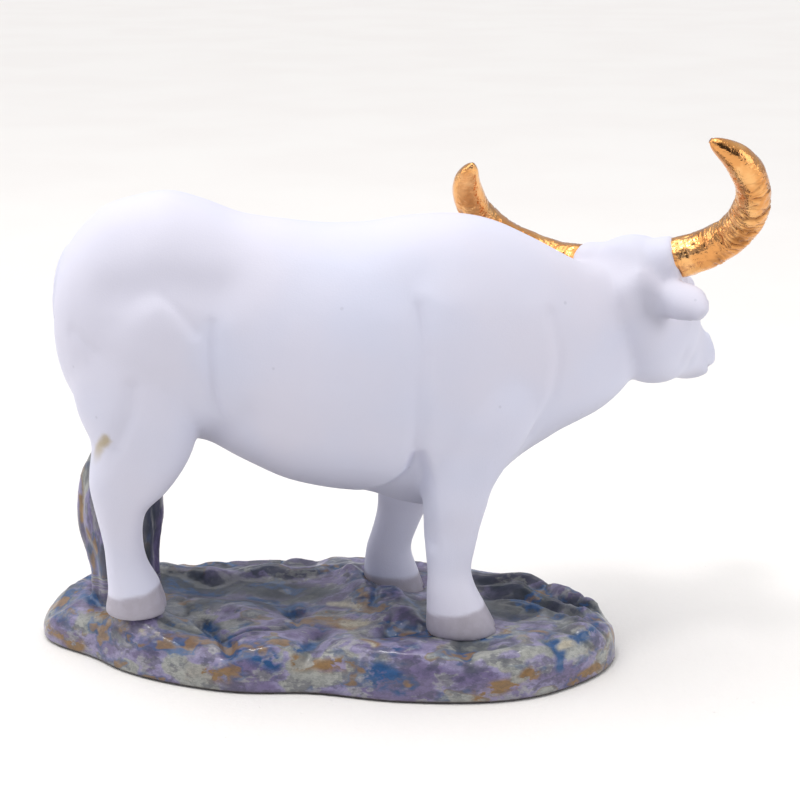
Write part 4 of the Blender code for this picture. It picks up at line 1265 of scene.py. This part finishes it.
@dataclass
class RockBase:
    """The glazed rock and its stump: outline rings with a rounded rim, ridges, clefts and hoof pads."""

    length: float = 148.0
    width: float = 76.8
    chamfer: float = 0.6
    middle: tuple[float, float] = (-2.0, -3.0)
    voxel: float = 0.6
    turns: int = 400
    rings: int = 90
    hoof_seat: float = 2.0
    pad_reach: float = 8.0
    reach: tuple[float, ...] = (
        0.992, 0.959, 0.946, 0.925, 0.935, 0.959, 1.003, 1.060, 1.075, 1.024,
        0.950, 0.820, 0.803, 0.803, 0.809, 0.785, 0.945, 1.080, 1.074, 1.040,
    )
    rim: tuple[tuple[float, float], ...] = ((0.0, 0.42), (0.3, 0.58), (0.9, 0.72), (1.9, 0.84), (3.2, 0.92))
    rocks: tuple[tuple[tuple[Row, ...], float, float], ...] = (
        (((6.1, 16.0), (20.0, -10.1)), 7.1, 3.5),
        (((3.7, 15.6), (8.5, 13.0), (13.3, 6.3), (18.0, -1.0), (21.0, -8.0), (22.0, -15.0)), 2.0, 1.1),
        (((-46.0, 20.0), (-35.0, 18.0), (-27.0, 17.0), (-21.0, 18.8), (-11.0, 17.8), (-3.0, 18.2)), 2.4, 2.3),
        (((-44.0, 27.0), (-6.0, 27.5)), 2.6, -1.5), (((-36.0, 10.0), (-14.0, 6.0)), 6.0, -1.3),
        (((-11.5, -3.2), (-7.6, -6.6)), 1.9, -2.2),
        (((-31.0, -12.5), (-26.5, -20.0), (-22.6, -28.5)), 1.6, -2.0),
        (((-22.0, -6.0), (-14.0, -22.0)), 5.0, 1.6), (((-44.0, -24.0), (-36.0, -14.0)), 4.0, 1.0),
        (((38.0, 17.0), (50.0, 15.5), (60.0, 8.0), (68.0, -1.0)), 1.6, 2.0),
        (((39.0, 13.0), (50.0, 11.5), (59.0, 3.5), (66.0, -4.0)), 1.2, -1.6),
        (((38.0, 9.0), (50.0, 8.5), (58.0, 1.0), (65.0, -7.5)), 1.5, 1.8),
        (((41.0, 4.5), (49.5, 4.5), (56.5, -2.0), (63.0, -9.5)), 1.2, -1.7),
        (((43.0, 0.5), (49.0, 0.8), (55.0, -5.0), (63.0, -12.5)), 1.6, 1.6),
        (((46.5, -8.5), (51.5, -5.0)), 2.0, -1.8), (((44.0, -30.0), (62.0, -20.0)), 6.0, 1.9),
        (((53.5, -25.0), (57.0, -34.0)), 1.6, -1.5), (((6.0, -26.0), (26.0, -33.0)), 5.0, 1.6),
        (((-2.0, -20.0), (-4.5, -30.0)), 2.0, -1.6), (((12.0, -20.0), (22.0, -19.5)), 1.8, -1.6),
        (((20.5, -5.0), (24.0, -13.0)), 2.4, -1.6), (((-73.0, 16.0), (-73.0, 0.0)), 5.0, -2.1),
        (((-64.0, 12.0), (-62.0, 0.0)), 4.0, 1.6), (((-62.0, -2.0), (-52.0, -10.0)), 3.0, 1.4),
        (((-60.0, 6.0), (-57.0, -4.0)), 2.2, -1.6),
    )
    stump: tuple[Row, ...] = (
        (4.2, -52.0, 0.98), (11.0, -52.0, 0.87), (18.0, -52.1, 0.84), (24.0, -52.4, 0.87),
        (30.0, -52.8, 0.96), (36.0, -52.6, 1.04), (43.0, -52.2, 1.02), (50.0, -51.4, 0.94),
        (56.0, -50.4, 0.74), (62.0, -49.8, 0.56),
    )
    stump_length: float = 20.5
    stump_width: float = 14.2
    crack_depth: float = 1.0
    crack_widths: Pair = (0.11, 0.13)
    ground_wave: float = 0.45
    rock_stir: float = 1.3
    rock_change: float = 0.45
    lobe_depth: float = 0.55
    skin_wave: float = 0.22
    fine_share: float = 0.45
    crack_shade: float = 0.8
    cleft_shade: float = 0.42
    streak_share: float = 0.95
    stroke_warp: float = 1.3
    calm_slope: tuple[tuple[float, float], ...] = ((-42.0, 14.0), (-24.0, 10.0), (-8.0, 10.0))
    flutes: int = 9
    flute_depth: float = 0.7
    twist: float = 75.0
    cobalt: tuple[tuple[Point, Point, float], ...] = (
        ((-31.0, -12.5, 10.0), (-22.0, -29.0, 9.0), 1.9), ((-19.0, -29.0, 10.1), (-11.9, -31.4, 8.0), 2.7),
        ((-6.1, -27.5, 10.5), (-3.4, -23.1, 9.8), 2.0), ((11.0, -35.8, 6.7), (18.0, -37.1, 5.5), 3.2),
        ((15.8, -32.6, 11.7), (20.9, -30.5, 12.0), 2.2), ((54.6, -25.5, 11.7), (56.5, -31.0, 7.0), 2.2),
        ((60.5, -23.6, 11.4), (67.5, -15.1, 10.1), 2.2), ((-12.0, -3.0, 10.4), (-8.0, -6.3, 9.7), 2.6),
        ((-64.0, 1.0, 12.3), (-55.5, -6.0, 12.7), 2.6), ((-41.0, 11.8, 9.6), (-30.0, 8.0, 9.0), 3.6),
        ((46.5, -9.5, 11.0), (53.0, -2.6, 10.5), 2.6), ((12.0, -19.8, 10.9), (22.0, -18.0, 11.4), 1.9),
        ((36.0, -25.0, 11.1), (44.0, -22.0, 11.0), 1.6), ((-20.0, 3.0, 9.6), (-8.0, -1.0, 9.6), 2.6),
        ((20.0, -5.0, 11.0), (24.0, -13.0, 10.0), 2.6),
    )
    ochre: tuple[tuple[Point, Point, float], ...] = (
        ((-59.5, -6.5, 11.4), (-50.4, -17.3, 12.5), 2.0), ((-33.0, -29.6, 4.5), (-23.9, -31.8, 5.0), 2.2),
        ((-6.6, -31.0, 8.3), (5.5, -33.0, 8.4), 2.4), ((36.0, -38.0, 2.4), (48.8, -34.9, 6.3), 2.0),
        ((-4.7, -7.0, 10.0), (5.6, -14.2, 10.6), 3.0), ((-73.0, -1.4, 3.9), (-62.6, -11.4, 2.5), 2.0),
        ((-38.0, -0.4, 10.4), (-35.2, -0.4, 10.4), 1.5), ((60.3, -28.8, 1.6), (67.0, -22.5, 2.6), 1.8),
        ((9.6, -27.9, 12.0), (13.2, -30.3, 11.9), 1.6), ((42.5, -16.0, 11.5), (43.5, -20.0, 11.0), 1.4),
        ((-60.5, -6.0, 22.0), (-61.0, -5.0, 34.0), 1.2), ((-62.0, -3.0, 36.0), (-61.5, -4.0, 50.0), 1.0),
    )
    # Painted shadow: near-black strokes where the ox's shadow falls on the rock and the stump.
    dark: tuple[tuple[Point, Point, float], ...] = (
        ((-43.0, 15.0, 10.8), (-28.0, 12.0, 10.0), 5.0), ((-26.0, 12.0, 10.0), (-4.0, 6.0, 10.5), 5.5),
        ((-33.0, -1.0, 10.0), (-16.0, -4.0, 10.0), 3.5), ((20.5, -5.5, 13.0), (24.2, -15.4, 11.6), 2.4),
        ((10.2, 8.9, 12.0), (16.7, 4.4, 12.0), 2.4), ((-47.0, -9.0, 10.0), (-40.0, -17.0, 11.0), 2.6),
        ((38.0, -2.0, 11.0), (47.0, -8.0, 11.0), 3.0), ((40.0, 11.0, 11.0), (58.0, 3.0, 11.0), 3.0),
        ((-60.0, -3.0, 56.0), (-56.0, -6.0, 60.0), 4.0), ((-44.0, -6.0, 20.0), (-43.0, -5.0, 44.0), 4.0),
    )
    cream: tuple[tuple[Point, Point, float], ...] = (
        ((0.1, -0.9, 10.6), (8.4, -6.4, 11.4), 1.8), ((10.3, -29.2, 11.9), (12.3, -31.0, 11.7), 1.2),
        ((4.3, -13.0, 10.5), (9.3, -14.7, 10.8), 1.8), ((-45.0, -21.0, 11.6), (-41.0, -21.5, 11.8), 1.4),
        ((56.0, -27.0, 11.4), (60.0, -25.0, 11.0), 1.2),
    )

    def cracks(self, places: Array) -> Array:
        """A mask of the small clefts between the rocks: a bell around nought in two layers of noise."""
        flat = np.column_stack([places * (0.8, 1.25), np.zeros(len(places))])
        broad = np.exp(-((clouds(flat, 17.0, 2, 61) / self.crack_widths[0]) ** 2))
        fine = np.exp(-((clouds(flat, 8.0, 2, 67) / self.crack_widths[1]) ** 2))
        calm = 1 - swell(places, self.calm_slope, 10.0)
        return np.maximum(broad, self.fine_share * fine) * calm

    def ground(self, places: Array, soles: tuple[Row, ...]) -> Array:
        """The rock's height: the top, a bell for each ridge or cleft, noise, and a pad under each hoof.

        Args:
            places: x and y of each place, one row each.
            soles: Each hoof's middle along x, across, and its sole's height.

        Returns:
            The height of each place above the table.
        """
        flat = np.column_stack([places, np.zeros(len(places))])
        height = BASE_TOP + self.ground_wave * clouds(flat, 9.0, 3, 51)
        height -= self.crack_depth * self.cracks(places)
        stir = np.stack([clouds(flat, 11.0, 2, 73), clouds(flat, 11.0, 2, 79)], -1)
        uneven = 1 + self.rock_change * clouds(flat, 8.0, 2, 83)
        for line, reach, rise in self.rocks:
            height += rise * uneven * swell(places + self.rock_stir * stir, line, reach * 1.15)
        for foot_x, foot_y, sole in soles:
            away = np.hypot(places[:, 0] - foot_x, places[:, 1] - foot_y)
            near = np.exp(-((away / self.pad_reach) ** 3))
            height += near * (sole + self.hoof_seat - height)
        return height

    def outline(self) -> Array:
        """The outline around the middle: an ellipse of the base's size times its reach at each turn."""
        rows = tuple((value,) for value in self.reach)
        reach = spline(rows, self.turns // len(rows), closed=True)[:, 0]
        turn = np.arange(len(reach)) * 2 * math.pi / len(reach)
        return np.stack([np.cos(turn) * reach * self.length / 2, np.sin(turn) * reach * self.width / 2], -1)

    def rock_grid(self, soles: tuple[Row, ...]) -> Array:
        """Rings from foot over rim to middle: the outline drawn in, at the ground's height."""
        outline = self.outline()
        away = np.linalg.norm(outline, axis=1)[:, None]
        middle = np.array(self.middle)
        wave = clouds(np.column_stack([outline, 0 * away]), 13.0, 2, 71)[:, None]
        lobes = 1 - self.lobe_depth * (1 + wave) / away
        foot = outline * (1 - self.chamfer / away) + middle
        corner = outline + middle
        rings = [np.column_stack([foot, 0 * away]), np.column_stack([corner, 0 * away + self.chamfer])]
        for inset, share in self.rim:
            place = outline * (lobes - inset / away) + middle
            rings.append(np.column_stack([place, share * self.ground(place, soles)]))
        top = outline * (lobes - self.rim[-1][0] / away)
        for share in np.linspace(0.985, 0.01, self.rings):
            place = top * share + middle
            rings.append(np.column_stack([place, self.ground(place, soles)]))
        return np.array(rings)

    def stump_grid(self, sides: int = 120) -> Array:
        """Rings up the stump: an oval whose reach is waved by its flutes, which turn with height."""
        height, along, breadth = (column[:, None] for column in spline(self.stump, 8).T)
        turn = np.arange(sides) * 2 * math.pi / sides
        twist = math.radians(self.twist) * (height - BASE_TOP) / (height.max() - BASE_TOP)
        wave = np.abs(np.cos(self.flutes * turn / 2 + twist / 2 + 0.5 * np.sin(height / 5)))
        flute = self.flute_depth * (1.4 * wave - 0.9)
        x = along + np.cos(turn) * (self.stump_length / 2 * breadth + flute)
        y = np.sin(turn) * (self.stump_width / 2 * breadth + flute)
        return np.stack([x, y, height + 0 * x], -1)

    def build(self, soles: tuple[Row, ...]) -> bpy.types.Object:
        """The base and stump as one piece.

        Args:
            soles: Each hoof's middle along x, across, and its sole's height.

        Returns:
            The finished object, without its material.
        """
        piece = new_piece("rock_base_glazed", [self.rock_grid(soles), self.stump_grid()])
        rework(piece, "REMESH", mode="VOXEL", voxel_size=self.voxel * MILLIMETRE)
        rework(piece, "SMOOTH", factor=0.5, iterations=3)
        points, normals = skin(piece)
        bark = ease(points[:, 2], 15.0, 18.0)
        rough = self.skin_wave * clouds(points, 5.0, 3, 81) * (1 - bark)
        rough += self.skin_wave * bark * clouds(points * (1.0, 1.0, 0.35), 2.4, 3, 91)
        rough *= ease(points[:, 2], 0.6, 2.0)
        moved = points + normals * rough[:, None]
        moved[:, 2] = np.maximum(moved[:, 2], 0)
        set_coordinates(piece.data, to_frame(moved))
        fit_to_node(piece, "rock_base")
        self.paint(piece.data, points)
        piece.data.shade_smooth()
        return piece

    def paint(self, mesh: bpy.types.Mesh, points: Array) -> None:
        """Keeps the masks of painted shade in the clefts, low places, brush strokes, the painted shadow of
        the ox and the dark band along the foot on the mesh.
        """
        shift = np.stack([clouds(points, 5.0, 2, seed) for seed in (101, 111, 121)], -1)
        warped = points + self.stroke_warp * shift
        named = {"cobalt": self.cobalt, "ochre": self.ochre, "cream": self.cream, "dark": self.dark}
        for name, strokes in named.items():
            mask = np.max([swell(warped, (start, end), reach) for start, end, reach in strokes], axis=0)
            set_mask(mesh, name, ease(mask, 0.1, 0.95))
        places = points[:, :2]
        # Painted shade in the small clefts and in the clefts between rocks.
        hollow_shade = self.crack_shade * self.cracks(places)
        for line, reach, rise in self.rocks:
            hollow_shade += max(-rise, 0.0) * self.cleft_shade * swell(warped[:, :2], line, reach * 1.1)
        bark = ease(points[:, 2], 16.0, 20.0)
        set_mask(mesh, "bark", bark)
        top = ease(points[:, 2], 6.0, 9.0) * (1 - ease(points[:, 2], 14.0, 17.0))
        set_mask(mesh, "hollow_shade", hollow_shade * top)
        rim = 1 - ease(points[:, 2] + 0.14 * points[:, 1] + 1.6 * cloud(points, 9.0, 17), 6.5, 13.5)
        streaks = ease(clouds(points * (1.0, 1.0, 0.22), 3.0, 2, 19), -0.4, 0.4)
        set_mask(mesh, "low", np.maximum(rim * (1 - bark), self.streak_share * bark * streaks))
        # The lowest millimetre of the base is painted dark brown and made duller.
        set_mask(mesh, "foot", 1 - ease(points[:, 2] + 0.15 * cloud(points, 2.0, 7), 0.55, 1.0))


@dataclass(frozen=True)
class Lamp:
    """A light that faces a point: a soft box, its side in metres, or a sun, its breadth in degrees."""

    name: str
    place: Point
    aim: Point
    breadth: float
    power: float
    colour: Colour
    kind: str = "AREA"

    def build(self) -> None:
        """Puts the light in the scene."""
        data = bpy.data.lights.new(self.name, self.kind)
        if self.kind == "SUN":
            data.angle = math.radians(self.breadth)
        else:
            data.size = self.breadth
        data.energy = self.power
        data.color = self.colour
        lamp = new_object(self.name, data)
        lamp.location = self.place
        place, aim = self.place, self.aim
        lamp.rotation_euler = (Vector(aim) - Vector(place)).to_track_quat("-Z", "Y").to_euler()


@dataclass
class Studio:
    """A pale floor, soft light from above and a camera where the photograph's was."""

    floor_size: float = 9.0
    distance: float = 420.0
    elevation: float = 17.0
    focal_pixels: float = 1701.0
    image_pixels: float = 800.0
    sensor: float = 36.0
    target: Point = (18.0, 0.0, 63.8)
    dark_way: Point = (0.10, -0.93, 0.35)
    sky_strength: float = 0.66
    sky_behind: Colour = (0.46, 0.54, 0.84)
    sky_ahead: Colour = (0.82, 0.86, 1.0)
    sky_above: Colour = (1.02, 1.01, 1.0)
    sky_dark: Colour = (0.03, 0.025, 0.03)
    floor_gap: float = 0.0001
    lamps: tuple[Lamp, ...] = (
        Lamp("top_softbox", (-0.10, -0.06, 0.62), (0.0, 0.0, 0.05), 0.09, 0.65, (1.0, 0.99, 0.97)),
        Lamp("right_softbox", (0.75, -0.35, 0.35), (0.03, 0.0, 0.07), 0.5, 1.4, (1.0, 0.99, 0.98)),
        Lamp("left_softbox", (-0.80, 0.10, 0.42), (0.0, 0.0, 0.07), 0.5, 1.3, (1.0, 0.99, 0.98)),
        Lamp("ceiling_light", (-0.30, 0.02, 1.0), (0.0, 0.0, 0.0), 70.0, 1.74, (1.0, 0.985, 0.97), "SUN"),
    )

    def floor(self, finish: bpy.types.Material) -> None:
        """A flat square: x and y run from minus half to half of its size, z is just below the table."""
        half = self.floor_size / 2
        corners = np.array([(-1, -1, 0), (1, -1, 0), (1, 1, 0), (-1, 1, 0)]) * half - (0, 0, self.floor_gap)
        mesh = bpy.data.meshes.new("floor")
        mesh.from_pydata(corners.tolist(), [], [(0, 1, 2, 3)])
        mesh.materials.append(finish)
        piece = new_object("floor", mesh)

    def sky(self) -> None:
        """A pale surround, brighter above, bluer behind the camera, dark in one place for the gold."""
        world = bpy.data.worlds.new("pale_surround")
        bpy.context.scene.world = world
        world.use_nodes = True
        sheet = NodeSheet(world.node_tree)
        way = sheet.add("ShaderNodeTexCoord").outputs["Generated"]
        split = sheet.add("ShaderNodeSeparateXYZ", None, {0: way})
        level = sheet.mix(sheet.remap(split.outputs[1], -0.9, 0.3), self.sky_behind, self.sky_ahead)
        colour = sheet.mix(sheet.remap(split.outputs[2], 0.05, 0.75), level, self.sky_above)
        facing = sheet.vector("DOT_PRODUCT", {0: way, 1: self.dark_way}).outputs["Value"]
        colour = sheet.mix(sheet.remap(facing, 0.83, 0.93, (0.0, 0.9)), colour, self.sky_dark)
        backdrop = world.node_tree.nodes["Background"]
        sheet.feed(backdrop.inputs["Color"], colour)
        backdrop.inputs["Strength"].default_value = self.sky_strength

    def camera(self) -> None:
        """The camera: its distance back from the target along the view, with the photo's focal length."""
        angle = math.radians(self.elevation)
        ahead = np.array([0.0, math.cos(angle), -math.sin(angle)])
        target = to_frame(np.array([self.target]))[0]
        data = bpy.data.cameras.new("camera")
        data.sensor_width = self.sensor
        data.lens = self.sensor * self.focal_pixels / self.image_pixels
        data.clip_start = 0.01
        data.clip_end = 50.0
        camera = new_object("camera", data)
        camera.location = target - ahead * self.distance * MILLIMETRE
        camera.rotation_euler = (math.pi / 2 - angle, 0.0, 0.0)
        bpy.context.scene.camera = camera

    def build(self, effects: SharedEffects) -> None:
        """Sets up floor, surround, lights and camera."""
        self.floor(FloorFinish().make(effects))
        self.sky()
        for lamp in self.lamps:
            lamp.build()
        self.camera()
        bpy.context.scene.view_settings.view_transform = "Standard"


def dress(piece: bpy.types.Object, finish: bpy.types.Material, node: str) -> None:
    """Gives a piece its material and puts it on the frame in place of its node.

    Args:
        piece: The object.
        finish: Its material.
        node: The CAD node that it stands for.
    """
    piece.data.materials.clear()
    piece.data.materials.append(finish)
    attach(piece, "root")
    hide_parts(node)
    LOG.info("%s: %d faces for node %s", piece.name, len(piece.data.polygons), node)


def main() -> None:
    """Builds the ox, its horns, its base and the studio."""
    logging.basicConfig(level=logging.INFO, format="%(message)s")
    effects = SharedEffects()
    pose = HeadPose()
    horns = (Horn(pose, Side.RIGHT), Horn(pose, Side.LEFT))
    ox = OxFigure(pose)
    soles = []
    for leg in ox.legs():
        height, rear, front, aside, _ = leg[-1]
        soles.append(((rear + front) / 2, aside, height + BASE_TOP))
    dress(ox.build(horns), BisqueFinish().make(effects), "ox")
    gold = GildingFinish().make(effects)
    for horn in horns:
        dress(horn.build(), gold, f"horn_{horn.side.name.lower()}")
    dress(RockBase().build(tuple(soles)), RockGlazeFinish().make(effects), "rock_base")
    Studio().build(effects)


if __name__ == "__main__":
    main()
